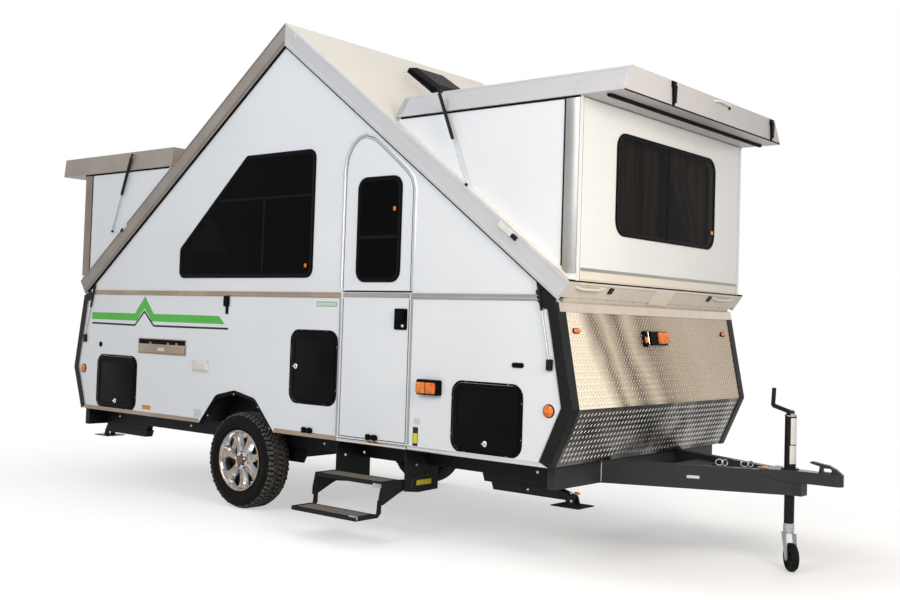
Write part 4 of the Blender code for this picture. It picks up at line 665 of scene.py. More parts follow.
def corner_trims():
    """Black extrusions over the body's four corners, on the sides and round onto nose and tail."""
    for face, hand in ((RIGHT, "right"), (LEFT, "left")):
        for side, end in ((1, "front"), (-1, "rear")):
            with piece(f"corner_trim_{end}_{hand}", trim_black) as bm:
                strip(bm, face, wall_corner(side), bar_section(TRIM_W, TRIM_H, 0.002))
                slopes = (NOSE_LOW, NOSE) if side > 0 else (TAIL_LOW, TAIL)
                lengths = ((NOSE_FOOT_X, FLOOR_Z, NOSE_KNEE_X, KNEE_Z),
                           (NOSE_KNEE_X, KNEE_Z, NOSE_TOP_X, NOSE_TOP_Z))
                if side < 0:
                    lengths = ((TAIL_FOOT_X, FLOOR_Z, TAIL_KNEE_X, KNEE_Z),
                               (TAIL_KNEE_X, KNEE_Z, TAIL_TOP_X, NOSE_TOP_Z))
                y = math.copysign(HALF_W - TRIM_W / 2 + 0.001, face.origin.y)
                for slope, (x0, z0, x1, z1) in zip(slopes, lengths):
                    run = math.hypot(x1 - x0, z1 - z0)
                    strip(bm, slope, [(y, 0.0), (y, run)], bar_section(TRIM_W, TRIM_H, 0.002))
            with piece(f"corner_bead_{end}_{hand}", aluminium) as bm:
                inner = [tuple(Vector(p) + n * side * (TRIM_W / 2 + 0.003)) for p, n in
                         zip(wall_corner(side), sideways(wall_corner(side), False))]
                strip(bm, face, inner, bar_section(0.004, TRIM_H + 0.0015, 0.001))


def body_rails():
    """Aluminium rails along the floor and along the belt."""
    ribbed = [(-0.015, 0), (-0.015, 0.004), (-0.010, 0.007), (-0.004, 0.0045), (0.003, 0.0045),
              (0.008, 0.007), (0.013, 0.004), (0.013, 0)]
    for face, hand in ((RIGHT, "right"), (LEFT, "left")):
        top = BELT_Z - 0.024 + (LEFT_RAISE if hand == "left" else 0.0)
        floor_z = FLOOR_Z + 0.0155
        # The rear and middle floor rails take the painted tan reflection
        with piece(f"floor_rail_rear_{hand}", aluminium_reflecting_tan) as bm:
            strip(bm, face, [(TAIL_FOOT_X + 0.055, floor_z), (ARCH[0][0] - 0.012, floor_z)], ribbed)
        with piece(f"floor_rail_mid_{hand}", aluminium_reflecting_tan) as bm:
            ahead = DOOR[0] if hand == "right" else NOSE_FOOT_X - 0.072
            strip(bm, face, [(ARCH[-1][0] + 0.014, floor_z), (ahead - 0.010, floor_z)], ribbed)
        if hand == "right":
            # The lit copy of the extrusion: painted light
            with piece("floor_rail_front_right", aluminium_lit) as bm:
                strip(bm, face, [(DOOR[0], FLOOR_Z + 0.010), (DOOR[1], FLOOR_Z + 0.010)],
                      [(o * 0.66, h) for o, h in ribbed])
                strip(bm, face, [(DOOR[1] + 0.008, floor_z), (NOSE_FOOT_X - 0.066, floor_z)], ribbed)
        belt = [(-0.017, 0), (-0.017, 0.005), (-0.011, 0.009), (-0.005, 0.005), (0.005, 0.005),
                (0.011, 0.009), (0.017, 0.005), (0.017, 0)]
        ends = ((WALL_REAR_X + 0.030, DOOR[0] - 0.010), (DOOR[1] + 0.008, WALL_FRONT_X - 0.060))
        if hand == "left":
            ends = ((WALL_REAR_X + 0.030, WALL_FRONT_X - 0.060),)
        for k, (rear, front) in enumerate(ends):
            # The belt rail's rear length takes the painted tan reflection
            with piece(f"belt_rail_{k}_{hand}", aluminium if k else aluminium_reflecting_tan) as bm:
                strip(bm, face, [(rear, top), (front, top)], belt)
    with piece("door_sill_strip", aluminium, "door_lower") as bm:
        strip(bm, RIGHT, [(DOOR[0] + 0.016, BELT_Z - 0.022), (DOOR[1] - 0.010, BELT_Z - 0.022)],
              bar_section(0.026, 0.006, 0.002))


# Windows


def ring(bm, face, loop, width, height, groove=True):
    """A moulded frame that follows an outline, with a raised outer roll and a seal inside it."""
    section = [(0, 0), (0, height * 0.7), (0.003, height), (width * 0.55, height),
               (width * 0.7, height * 0.55), (width - 0.002, height * 0.5), (width, 0.0015)]
    if not groove:
        section = [(0, 0), (0, height - 0.001), (0.001, height), (width - 0.001, height),
                   (width, height - 0.001), (width, 0)]
    moulding(bm, face, loop, section, filled=False)


def grown(loop, by):
    """A closed outline moved outwards."""
    area = sum(a[0] * b[1] - b[0] * a[1] for a, b in zip(loop, loop[1:] + loop[:1]))
    sign = 1 if area > 0 else -1
    return [tuple(Vector(p) - n * by * sign) for p, n in zip(loop, sideways(loop, True))]


def window_dress(name, face, loop, body, bars):
    """Black frame and sliding-pane bars of one window; the pane itself is a CAD part."""
    with piece(f"{name}_frame", abs_black, body) as bm:
        ring(bm, Face(face.at(0, 0, 0.0030), face.along, face.up, face.out), grown(loop, 0.014), 0.026,
             0.0050)
    with piece(f"{name}_bars", rubber_black, body) as bm:
        for path, width in bars:
            strip(bm, face, path, bar_section(width, 0.0078, 0.0015, 0.004))


def windows():
    """Frames, bars and finger latches of the windows."""
    gable_bars = [([(-0.272, 2.105), (0.651, 2.105)], 0.016), ([(0.190, 1.600), (0.190, 2.100)], 0.018)]
    for face, hand in ((RIGHT, "right"), (LEFT, "left")):
        loop = rounded(GABLE_WINDOW, GABLE_WINDOW_RADII)
        window_dress(f"gable_window_{hand}", face, loop, f"gable_{hand}", gable_bars)
    low_x, high_x, low_z, high_z = DOOR_WINDOW
    window_dress("door_window", RIGHT, rectangle(low_x, high_x, low_z, high_z, 0.060), "door_upper",
                 [([(low_x + 0.01, 1.818), (high_x - 0.01, 1.818)], 0.020)])
    for face, tag, box in ((FRONT_WALL, "front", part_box("dormer_front_window")),
                           (REAR_WALL, "rear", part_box("dormer_rear_window"))):
        low, high = box[0] - SHIFT, box[1] - SHIFT
        loop = rectangle(low.y + 0.016, high.y - 0.016, low.z + 0.016, high.z - 0.016, 0.075)
        window_dress(f"dormer_{tag}_window", face, loop, f"dormer_{tag}_wall",
                     [([(-0.008, low.z + 0.02), (-0.008, high.z - 0.02)], 0.022)])
    for face, u, v, body in ((RIGHT, 0.615, 1.650, "gable_right"), (RIGHT, 1.375, 1.985, "door_upper"),
                             (FRONT_WALL, 0.555, 1.935, "dormer_front_wall")):
        with piece(f"window_latch_{body}", lens_amber, body) as bm:
            moulding(bm, face, shrinking(u - 0.009, u + 0.009, v - 0.013, v + 0.013, 0.004, 3),
                     [(0, 0.010), (0, 0.014), (0.003, 0.018)])


def curtain(name, face, low_u, high_u, low_v, high_v, inside, body, swept=0.0):
    """A gathered curtain on its rail behind a window: folds 120 mm apart, deeper towards the hem.

    swept is the share of its width by which the hem is drawn back to the high_u side, as a tie does.
    """
    random.seed(name)
    folds = max(3, round((high_u - low_u) / 0.120))
    columns, rows = folds * 12, 12
    phase = [random.uniform(-0.5, 0.5) for _ in range(folds + 2)]
    bm = bmesh.new()
    grid = []
    for r in range(rows + 1):
        down = r / rows
        v = high_v + (low_v - high_v) * down
        depth = 0.018 + 0.010 * down
        start = low_u + (high_u - low_u) * swept * down ** 0.8
        line = []
        for c in range(columns + 1):
            t = c / columns
            fold = t * folds
            k = int(fold)
            sway = phase[k] * (1 - fold + k) + phase[k + 1] * (fold - k)
            wave = math.sin(2 * math.pi * fold + sway) * (0.8 + 0.25 * math.sin(2.3 * fold + sway))
            line.append(bm.verts.new(face.at(start + (high_u - start) * t, v, -inside + depth * wave)))
        grid.append(line)
    bridge(bm, grid, closed_rows=False)
    area = sum(f.calc_area() for f in bm.faces)
    obj = dress(bm, name, body, curtain_cloth, sharp=180)


def curtains():
    """Curtains in the dormers."""
    for face, tag in ((FRONT_WALL, "front"), (REAR_WALL, "rear")):
        low, high = (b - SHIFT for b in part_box(f"dormer_{tag}_window"))
        for k, (start, end, swept) in enumerate(((low.y + 0.02, -0.03, 0.0), (0.02, high.y - 0.02, 0.62))):
            curtain(f"curtain_{tag}_{k}", face, start, end, low.z - 0.01, high.z + 0.01, 0.066,
                    f"dormer_{tag}_wall", swept)


# Roof


def roof_trims():
    """Ribs and seals along the roof's flanges, its edge strips and the ridge hinge."""
    for face, side, end in ((ROOF_FRONT, 1, "front"), (ROOF_REAR, -1, "rear")):
        cos, sin = math.cos(ROOF_SLOPE), math.sin(ROOF_SLOPE)

        def down(distance, depth, side=side, cos=cos, sin=sin):
            """A point in x and z, distance down the slope and depth below its surface."""
            return (APEX_X + side * (distance * cos - depth * sin), APEX_Z - distance * sin - depth * cos)

        outer = side_face(-ROOF_HALF_W)
        # Front ribs and edges take the lit copy, rear ones the shaded copy: painted light and painted shade
        with piece(f"flange_ribs_{end}", aluminium_lit if side > 0 else aluminium_shaded_rear) as bm:
            for depth, width, height in ((0.008, 0.012, 0.0025), (0.100, 0.016, 0.003)):
                start = depth * math.tan(ROOF_SLOPE) + 0.01
                strip(bm, outer, [down(start, depth), down(SLOPE_RUN - 0.004, depth)],
                      bar_section(width, height, 0.001))
        with piece(f"flange_seal_{end}", rubber_black) as bm:
            strip(bm, side_face(-ROOF_HALF_W + 0.012),
                  [down(0.13 * math.tan(ROOF_SLOPE), ROOF_EDGE + 0.004),
                   down(SLOPE_RUN - 0.03, ROOF_EDGE + 0.004)],
                  bar_section(0.010, 0.010, 0.002, -0.006))
        with piece(f"roof_edge_{end}", aluminium_lit if side > 0 else aluminium_shaded_rear) as bm:
            for y in (-ROOF_HALF_W + 0.008, ROOF_HALF_W - 0.008):
                strip(bm, face, [(y, 0.012), (y, SLOPE_RUN - 0.004)], bar_section(0.014, 0.003, 0.001))
    with piece("ridge_hinge", aluminium) as bm:
        pipe(bm, [(APEX_X, -ROOF_HALF_W + 0.004, APEX_Z - 0.022),
                  (APEX_X, ROOF_HALF_W - 0.004, APEX_Z - 0.022)], 0.010, 12)


# Nose


def nose_tread():
    """Raised lozenges of the tread plate: rows 17 mm apart that lean to either side in turn."""
    row_gap, long_half, height = 0.017, 0.0130, 0.0022
    upper_run = math.hypot(NOSE_TOP_X - NOSE_KNEE_X, NOSE_TOP_Z - KNEE_Z) - 0.058
    lower_run = math.hypot(NOSE_KNEE_X - NOSE_FOOT_X, KNEE_Z - FLOOR_Z)
    half_w = HALF_W - TRIM_W - 0.006
    # Below the knee the rows take the shaded and the lit copy in turn: painted shade and highlight
    for face, high_v, in_row, short_half, lean, name, finishes in (
            (NOSE, upper_run, 0.030, 0.0044, 50, "nose_tread_upper", (tread_raised, tread_raised)),
            (NOSE_LOW, lower_run - 0.010, 0.036, 0.0050, 60, "nose_tread_lower",
             (tread_raised_shaded, tread_raised_lit))):
        with piece(name, finishes, sharp=30) as bm:
            low_v = 0.010
            columns, rows = int(2 * half_w / in_row), int((high_v - low_v) / row_gap)
            for j in range(rows):
                v = low_v + (j + 0.5) * (high_v - low_v) / rows
                turn = math.radians(lean if j % 2 else -lean)
                c, s = math.cos(turn), math.sin(turn)
                for i in range(columns - j % 2):
                    u = -half_w + (i + 0.5 + 0.5 * (j % 2)) * 2 * half_w / columns

                    def corner(a, b, out, u=u, v=v, c=c, s=s, face=face):
                        return bm.verts.new(face.at(u + a * c - b * s, v + a * s + b * c, out))

                    west, south = corner(-long_half, 0, 0), corner(0, -short_half, 0)
                    east, north = corner(long_half, 0, 0), corner(0, short_half, 0)
                    back, front = corner(-long_half * 0.5, 0, height), corner(long_half * 0.5, 0, height)
                    for side in ((west, south, back), (south, front, back), (south, east, front),
                                 (east, north, front), (north, back, front), (north, west, back)):
                        bm.faces.new(side).material_index = j % 2


def nose_fittings():
    """Porch lamp, marker lamps and the strip over the tread plate."""
    run = math.hypot(NOSE_TOP_X - NOSE_KNEE_X, NOSE_TOP_Z - KNEE_Z)
    with piece("nose_top_strip", aluminium_cream) as bm:
        strip(bm, NOSE, [(-HALF_W + 0.004, run - 0.027), (HALF_W - 0.004, run - 0.027)],
              [(-0.026, 0), (-0.026, 0.004), (-0.023, 0.006), (0.004, 0.005), (0.020, 0.009), (0.026, 0.007),
               (0.026, 0)])
    low, high = (1.206 - KNEE_Z) / NOSE_RISE, (1.298 - KNEE_Z) / NOSE_RISE
    with piece("porch_lamp_body", abs_black) as bm:
        moulding(bm, NOSE, shrinking(-0.195, 0.050, low, high, 0.018),
                 [(0, 0), (0, 0.010), (0.004, 0.014), (0.010, 0.015)])
        moulding(bm, NOSE, shrinking(-0.158, 0.046, low + 0.004, high - 0.004, 0.012),
                 [(0, 0.014), (0.002, 0.036), (0.006, 0.040), (0.012, 0.041)])
    with piece("porch_lamp_lens", lens_amber) as bm:
        moulding(bm, NOSE, shrinking(-0.080, 0.042, low + 0.012, high - 0.012, 0.012),
                 [(0, 0.039), (0.002, 0.050), (0.010, 0.056), (0.020, 0.058)])
        moulding(bm, NOSE, shrinking(-0.190, -0.172, low + 0.020, high - 0.036, 0.006),
                 [(0, 0.013), (0.002, 0.028), (0.006, 0.032)])
    with piece("porch_lamp_bezel", chrome) as bm:
        ring(bm, NOSE, shrinking(-0.161, 0.049, low + 0.001, high - 0.001, 0.014), 0.003, 0.024, groove=False)
    with piece("nose_marker_rims", abs_black) as rims, piece("nose_markers", lens_amber) as bm:
        for y in (-0.894, 0.866):
            spot = (1.290 - KNEE_Z) / NOSE_RISE
            moulding(rims, NOSE, shrinking(y - 0.033, y + 0.033, spot - 0.016, spot + 0.016, 0.0155, 6),
                     [(0, 0), (0.001, 0.005), (0.004, 0.007)])
            moulding(bm, NOSE, shrinking(y - 0.029, y + 0.029, spot - 0.012, spot + 0.012, 0.0115, 6),
                     [(0, 0.006), (0.001, 0.010), (0.004, 0.015), (0.008, 0.017)])


# Side fittings


def stripes():
    """Plain green and charcoal films at the rear of the door side."""
    with piece("stripe_green", film_green) as bm:
        green = [(-1.790, 1.309), (-1.786, 1.255), (-1.200, 1.255), (-1.110, 1.349), (-1.016, 1.254),
                 (-0.183, 1.254), (-0.243, 1.310), (-0.994, 1.310), (-1.108, 1.438), (-1.226, 1.309)]
        plate(bm, RIGHT, green, 0.0, 0.0007, 0.0003)
    with piece("stripe_charcoal", film_charcoal) as bm:
        strip(bm, RIGHT,
              [(-1.784, 1.226), (-1.222, 1.222), (-1.110, 1.325), (-0.989, 1.222), (-0.144, 1.224)],
              bar_section(0.014, 0.0008, 0.0003))


def labels():
    """Blank stickers on the door side."""
    for name, low_u, high_u, low_v, high_v, under, over, finish in (
            ("amber", -1.092, -0.990, 0.609, 0.640, 0, 0.0006, film_orange),
            ("white", -0.482, -0.400, 0.600, 0.655, 0, 0.0006, film_white),
            ("green", 0.722, 0.905, 1.390, 1.422, 0, 0.0006, film_green),
            ("pale", 1.572, 1.622, 0.716, 0.752, 0, 0.0006, film_white),
            ("dark", 1.566, 1.606, 0.590, 0.700, 0, 0.0006, film_charcoal),
            ("green_field", 0.727, 0.900, 1.395, 1.417, 0.0005, 0.0010, film_white),
            ("dark_field", 1.570, 1.602, 0.606, 0.664, 0.0005, 0.0010, film_yellow)):
        with piece(f"label_{name}", finish) as bm:
            plate(bm, RIGHT, rectangle(low_u, high_u, low_v, high_v, 0.004, 3), under, over, 0.0002)


def hatch_dress():
    """Frame, recessed lid line, lock and screws of each luggage hatch."""
    for name, (rear, front, foot, top) in HATCHES.items():
        loop = rectangle(rear, front, foot, top, 0.060)
        with piece(name + "_frame", abs_black) as bm:
            ring(bm, RIGHT, grown(loop, 0.013), 0.011, 0.004)
        with piece(name + "_lid", abs_black, name) as bm:
            moulding(bm, RIGHT, grown(loop, -0.012),
                     [(0, 0.0), (0.001, 0.004), (0.004, 0.006), (0.014, 0.006),
                      (0.018, 0.002), (0.022, 0.0015), (0.026, 0.003)])
        middle_u, middle_v = (rear + front) / 2, (foot + top) / 2
        lock = (rear + 0.048, middle_v) if name == "hatch_mid" else (middle_u, foot + 0.048)
        with piece(name + "_lock", chrome, name) as bm:
            spot = RIGHT.at(*lock, 0.003)
            turned(bm, spot, spot + RIGHT.out,
                   [(0, 0.017), (0.006, 0.017), (0.009, 0.014), (0.010, 0.009), (0.016, 0.008),
                    (0.018, 0.006)], 20)
            strip(bm, RIGHT, [(lock[0] - 0.013, lock[1]), (lock[0] + 0.013, lock[1])],
                  [(-0.003, 0.014), (-0.002, 0.022), (0.002, 0.022), (0.003, 0.014)])
        with piece(name + "_screws", zinc) as bm:
            spots = [(u, v) for u in (rear + 0.09, front - 0.09) for v in (foot - 0.0065, top + 0.0065)]
            spots += [(u, v) for u in (rear - 0.0065, front + 0.0065) for v in (foot + 0.09, top - 0.09)]
            heads(bm, RIGHT, spots, 0.0028, 0.0014, 0.0036)


def door_dress():
    """Jamb strips, handle, catches and the arch of the split door."""
    rear, front, foot = DOOR
    arch = [(1.520, 2.100), (1.502, 2.160), (1.462, 2.207), (1.250, 2.378), (1.180, 2.425), (1.110, 2.445),
            (1.050, 2.432), (1.000, 2.392), (0.962, 2.325), (0.945, 2.240)]
    head_z = BELT_Z + 0.012
    line = [(front, head_z)] + arch + [(rear, head_z)]
    # The jamb takes the lit copy of the extrusion: painted light
    with piece("door_jamb_upper", aluminium_lit, "gable_right") as bm:
        jamb = [(-0.022, 0), (-0.022, 0.003), (-0.018, 0.005), (-0.007, 0.005), (-0.005, 0.003),
                (-0.004, 0.0)]
        strip(bm, RIGHT, line, jamb)
    with piece("door_seal_upper", rubber_black, "door_upper") as bm:
        strip(bm, RIGHT, line, [(0.007, 0), (0.007, 0.002), (0.010, 0.002), (0.010, 0)])
    with piece("door_jambs_lower", aluminium) as bm:
        for x, out in ((rear, -1), (front, 1)):
            strip(bm, RIGHT, [(x + out * 0.0105, FLOOR_Z + 0.034), (x + out * 0.0105, BELT_Z - 0.045)],
                  bar_section(0.012, 0.005, 0.0015))
    with piece("door_seal_lower", rubber_black, "door_lower") as bm:
        strip(bm, RIGHT,
              [(rear + 0.014, BELT_Z - 0.045), (rear + 0.014, foot + 0.012), (front - 0.012, foot + 0.012),
               (front - 0.012, BELT_Z - 0.045)], bar_section(0.004, 0.002, 0.0005))
    with piece("door_hinge_rivets", zinc) as bm:
        heads(bm, RIGHT, [(rear - 0.0105, 0.625 + 0.045 * k) for k in range(18)], 0.0026, 0.0014, 0.0048)
    with piece("door_handle", abs_black, "door_lower") as bm:
        moulding(bm, RIGHT, shrinking(1.394, 1.495, 1.262, 1.388, 0.012),
                 [(0, 0), (0, 0.006), (0.004, 0.009), (0.012, 0.009), (0.016, 0.005)])
        moulding(bm, RIGHT, shrinking(1.408, 1.480, 1.308, 1.374, 0.010),
                 [(0, 0.005), (0.001, 0.018), (0.005, 0.021), (0.010, 0.022)])
    with piece("door_handle_lock", chrome, "door_lower") as bm:
        spot = RIGHT.at(1.466, 1.286, 0.005)
        turned(bm, spot, spot + RIGHT.out, [(0, 0.010), (0.006, 0.010), (0.008, 0.008)], 18)
    with piece("belt_catches", abs_black) as bm:
        for u, v in ((0.678, 0.605), (1.241, 0.609)):
            moulding(bm, RIGHT, shrinking(u - 0.045, u + 0.045, v - 0.012, v + 0.012, 0.005),
                     [(0, 0), (0, 0.012), (0.003, 0.016), (0.006, 0.017)])
            for side in (-1, 1):
                knob_u = u + side * 0.026
                moulding(bm, RIGHT, shrinking(knob_u - 0.014, knob_u + 0.014, v - 0.018, v + 0.018, 0.007),
                         [(0, 0.006), (0, 0.019), (0.003, 0.023), (0.007, 0.024)])
    with piece("door_sill_marker", film_orange) as bm:
        strip(bm, RIGHT, [(1.130, 0.5645), (1.330, 0.5645)], bar_section(0.004, 0.0092, 0.001))


def side_fittings():
    """Vent cover, inlets, lamps and the small fittings of the side walls."""
    low_u, high_u, low_v, high_v = -1.162, -0.595, 1.018, 1.131
    # The vent cover takes the painted tan reflection
    with piece("vent_cover", aluminium_reflecting_tan) as bm:
        ring(bm, RIGHT, shrinking(low_u, high_u, low_v, high_v, 0.006, 2), 0.007, 0.006, groove=False)
        flap = Face(RIGHT.at(0, low_v + 0.008, 0.002), RIGHT.along, RIGHT.up, RIGHT.out)
        moulding(bm, flap, shrinking(low_u + 0.009, high_u - 0.009, 0.0, 0.064, 0.004, 2),
                 [(0, 0), (0, 0.007), (0.002, 0.009), (0.006, 0.010)])
        for u in (-1.010, -0.800, -0.700):
            plate(bm, flap, rectangle(u - 0.009, u + 0.009, 0.060, 0.078, 0.002, 2), 0.0, 0.008)
    with piece("vent_cover_label", film_white) as bm:
        plate(bm, flap, rectangle(-0.915, -0.835, 0.016, 0.040, 0.002, 2), 0.009, 0.0112, 0.0003)
    # A black sheet behind the flap, seen in the gap above it: painted shade
    with piece("vent_gap_shade", rubber_black) as bm:
        plate(bm, RIGHT, rectangle(low_u + 0.006, high_u - 0.006,
                                   low_v + 0.006, high_v - 0.006, 0.003, 2), 0, 0.0012, 0.0004)
    with piece("inlet_box", abs_white) as bm:
        moulding(bm, RIGHT, shrinking(-0.517, -0.338, 0.915, 0.998, 0.010),
                 [(0, 0), (0, 0.004), (0.004, 0.006), (0.012, 0.006), (0.016, 0.014), (0.026, 0.017)])
    with piece("side_screws", zinc) as bm:
        heads(bm, RIGHT, [(-0.505, 0.927), (-0.505, 0.986), (-0.350, 0.927), (-0.350, 0.986)], 0.004, 0.002,
              0.006)
        heads(bm, RIGHT, [(low_u + 0.006 + k * (high_u - low_u - 0.012) / 4, v) for k in range(5)
                          for v in (low_v + 0.004, high_v - 0.004)], 0.0026, 0.0015, 0.0055)
    with piece("grommet_and_keyhole", abs_black) as bm:
        spot = RIGHT.at(-1.654, 1.065)
        turned(bm, spot, spot + RIGHT.out,
               [(0, 0.020), (0.004, 0.020), (0.007, 0.016), (0.006, 0.010), (0.003, 0.008)], 20)
        moulding(bm, RIGHT, shrinking(2.269, 2.349, 1.080, 1.108, 0.0135, 6),
                 [(0, 0), (0, 0.004), (0.003, 0.007), (0.008, 0.005)])
    with piece("belt_hook", abs_black) as bm:
        strip(bm, RIGHT, [(-0.160, 1.325), (-0.160, 1.455)], bar_section(0.030, 0.004, 0.001))
        moulding(bm, RIGHT, shrinking(-0.186, -0.134, 1.376, 1.448, 0.010),
                 [(0, 0.003), (0, 0.014), (0.004, 0.019), (0.010, 0.020)])
    with piece("side_lamp_base", abs_black) as bm:
        moulding(bm, RIGHT, shrinking(1.607, 1.776, 0.893, 0.982, 0.012),
                 [(0, 0), (0, 0.030), (0.002, 0.033), (0.008, 0.034)])
    with piece("side_lamp_lenses", lens_amber) as bm:
        for low in (1.611, 1.684):
            moulding(bm, RIGHT, shrinking(low, low + 0.070, 0.900, 0.966, 0.012),
                     [(0, 0.033), (0.001, 0.042), (0.006, 0.047), (0.016, 0.049)])
    with piece("side_marker_bases", abs_black) as bases, piece("side_markers", lens_amber) as lenses:
        for face in (RIGHT, LEFT):
            for u, v, lens_r in ((-1.873, 0.870, 0.030), (2.519, 0.862, 0.032)):
                spot, base_r = face.at(u, v), lens_r + 0.005
                turned(lenses, spot, spot + face.out,
                       [(0, lens_r), (0.006, lens_r), (0.011, lens_r * 0.8), (0.014, lens_r * 0.45)], 24)
                turned(bases, spot, spot + face.out,
                       [(0, base_r), (0.003, base_r), (0.006, base_r - 0.003), (0.006, base_r - 0.008)], 24)


def arch_dress():
    """Black liner edge of the wheel arch and its screws."""
    for face, hand in ((RIGHT, "right"), (LEFT, "left")):
        line = rounded([(ARCH[0][0] - 0.05, FLOOR_Z - 0.06)] + ARCH + [(ARCH[-1][0] + 0.05, FLOOR_Z - 0.06)],
                       [0, 0, 0.08, 0.08, 0.08, 0, 0], 5)[1:-1]
        with piece(f"arch_liner_edge_{hand}", abs_black) as bm:
            strip(bm, face, line, [(-0.020, -0.020), (-0.020, -0.004), (-0.004, 0.0), (0.0, 0.003),
                                   (0.004, 0.003), (0.005, 0)])
        with piece(f"arch_screws_{hand}", zinc) as bm:
            heads(bm, face, [(-0.330, 0.620), (-0.060, 0.783), (0.190, 0.715), (0.313, 0.585)], 0.006, 0.004,
                  -0.004)


# Dormers


def lid_skirt(lid, sign):
    """The leaning side of a dormer's lid, drawn in x and the distance up from its foot."""
    under, top, _, foot_y, top_y = lid
    lean = math.atan2(foot_y - top_y, top - under)
    return Face((0, sign * foot_y, under), (1, 0, 0), (0, -sign * math.sin(lean), math.cos(lean)),
                (0, sign * math.cos(lean), math.sin(lean)))


def dormer_dress():
    """Corner posts, lid edges and seals of both dormers, and the front lid's latches, handle and rivets."""
    for side, tag, wall_x, side_y, lid in ((1, "front", FRONT_WALL_X, FRONT_SIDE_Y, FRONT_LID),
                                           (-1, "rear", REAR_WALL_X, REAR_SIDE_Y, REAR_LID)):
        under, top, end_x, foot_y, top_y = lid
        roof_at = APEX_Z - (abs(wall_x - APEX_X)) * math.tan(ROOF_SLOPE)
        for y, hand in ((-side_y, "right"), (side_y, "left")):
            face = side_face(y)
            # The rear posts take the shaded copy: painted shade
            post = aluminium if side > 0 else aluminium_shaded_rear
            with piece(f"dormer_post_{tag}_{hand}", post) as bm:
                x = wall_x - side * 0.046
                foot = APEX_Z - abs(x - APEX_X) * math.tan(ROOF_SLOPE) + 0.012
                strip(bm, face, [(x, foot), (x, under - 0.004)],
                      [(-0.045, 0), (-0.045, 0.003), (-0.042, 0.005), (0.042, 0.005), (0.045, 0.003),
                       (0.045, 0)])
            with piece(f"dormer_seal_{tag}_{hand}", rubber_black) as bm:
                strip(bm, face,
                      [(wall_x - side * 0.096, foot + 0.04), (wall_x - side * 0.096, under - 0.004)],
                      bar_section(0.008, 0.004, 0.001))
                start = APEX_X + side * ((APEX_Z - under) / math.tan(ROOF_SLOPE))
                strip(bm, face, [(start + side * 0.05, under - 0.006), (wall_x, under - 0.006)],
                      bar_section(0.010, 0.008, 0.002))
            skirt = lid_skirt(lid, math.copysign(1, y))
            height = math.hypot(top - under, foot_y - top_y)
            # The rear lid's edges take its painted shade and reflection
            with piece(f"lid_edges_{tag}_{hand}", lid_enamel if side > 0 else lid_shaded_tan) as bm:
                edge = 0.0001 if tag == "rear" else 0.002
                strip(bm, skirt,
                      [(start + side * 0.01, height - 0.010), (end_x - side * 0.002, height - 0.010)],
                      [(-0.008, 0), (-0.008, edge * 0.8), (0.0, edge), (0.008, edge * 0.8), (0.008, 0)])
                strip(bm, skirt, [(start + side * 0.01, 0.012), (end_x - side * 0.002, 0.012)],
                      [(-0.010, 0), (-0.010, edge), (0.008, edge), (0.010, 0)])
                strip(bm, skirt, [(end_x - side * 0.024, 0.024), (end_x - side * 0.024, height - 0.020)],
                      [(-0.022, 0), (-0.020, edge), (0.020, edge), (0.022, 0)])
        front = end_face(wall_x, side)
        with piece(f"lid_seal_{tag}", rubber_black) as bm:
            half = side_y - 0.040
            sealed_x = wall_x + side * (0.150 if side > 0 else 0.060)
            soffit = Face((0, 0, under), (0, 1, 0), (1, 0, 0), (0, 0, -1))
            strip(bm, soffit, [(-half, sealed_x), (half, sealed_x)], bar_section(0.026, 0.016, 0.005))
        with piece(f"dormer_foot_strip_{tag}", aluminium, f"dormer_{tag}_wall") as bm:
            foot = roof_at + 0.070
            strip(bm, front, [(-half, foot), (half, foot)], bar_section(0.016, 0.004, 0.001))
    end = end_face(FRONT_LID[2], 1)
    with piece("lid_lip_seal", rubber_black) as bm:
        strip(bm, end, [(-0.985, FRONT_LID[0] + 0.004), (0.985, FRONT_LID[0] + 0.004)],
              bar_section(0.008, 0.003, 0.0008))
    with piece("lid_latches", abs_black) as bm:
        for y in (-0.462, 0.849):
            plate(bm, end, rectangle(y - 0.024, y + 0.024, 2.648, 2.686, 0.003, 2), 0, 0.010, 0.002)
            moulding(bm, end, [(y - 0.014, 2.566), (y + 0.014, 2.566), (y + 0.021, 2.664),
                               (y - 0.021, 2.664)],
                     [(0, 0.004), (0, 0.014), (0.002, 0.017), (0.005, 0.017)])
            plate(bm, end, rectangle(y - 0.010, y + 0.010, 2.549, 2.570, 0.003, 2), 0, 0.008, 0.001)
    with piece("lid_handle", abs_white) as bm:
        pipe(bm, bent([end.at(0.030, 2.664, -0.002), end.at(0.060, 2.668, 0.020), end.at(0.225, 2.664, 0.020),
                       end.at(0.262, 2.656, -0.002)], 0.02), 0.0065, 12)
    with piece("lid_handle_screw", trim_black) as bm:
        turned(bm, end.at(0.235, 2.652), end.at(0.235, 2.652, 1),
               [(0, 0.009), (0.006, 0.009), (0.008, 0.006)], 14)
    for sign, hand in ((-1, "right"), (1, "left")):
        skirt = lid_skirt(FRONT_LID, sign)
        with piece(f"lid_end_plate_{hand}", zinc) as bm:
            plate(bm, skirt, rectangle(1.310, 1.352, 0.012, 0.160, 0.002, 2), 0.0, 0.0025, 0.0008)
        with piece(f"lid_rivets_{hand}", zinc) as bm:
            heads(bm, skirt, [(2.529, 0.042), (2.578, 0.112), (2.593, 0.042), (1.441, 0.052), (1.941, 0.047),
                              (1.324, 0.040), (1.324, 0.130)], 0.0042, 0.0016, 0.0)


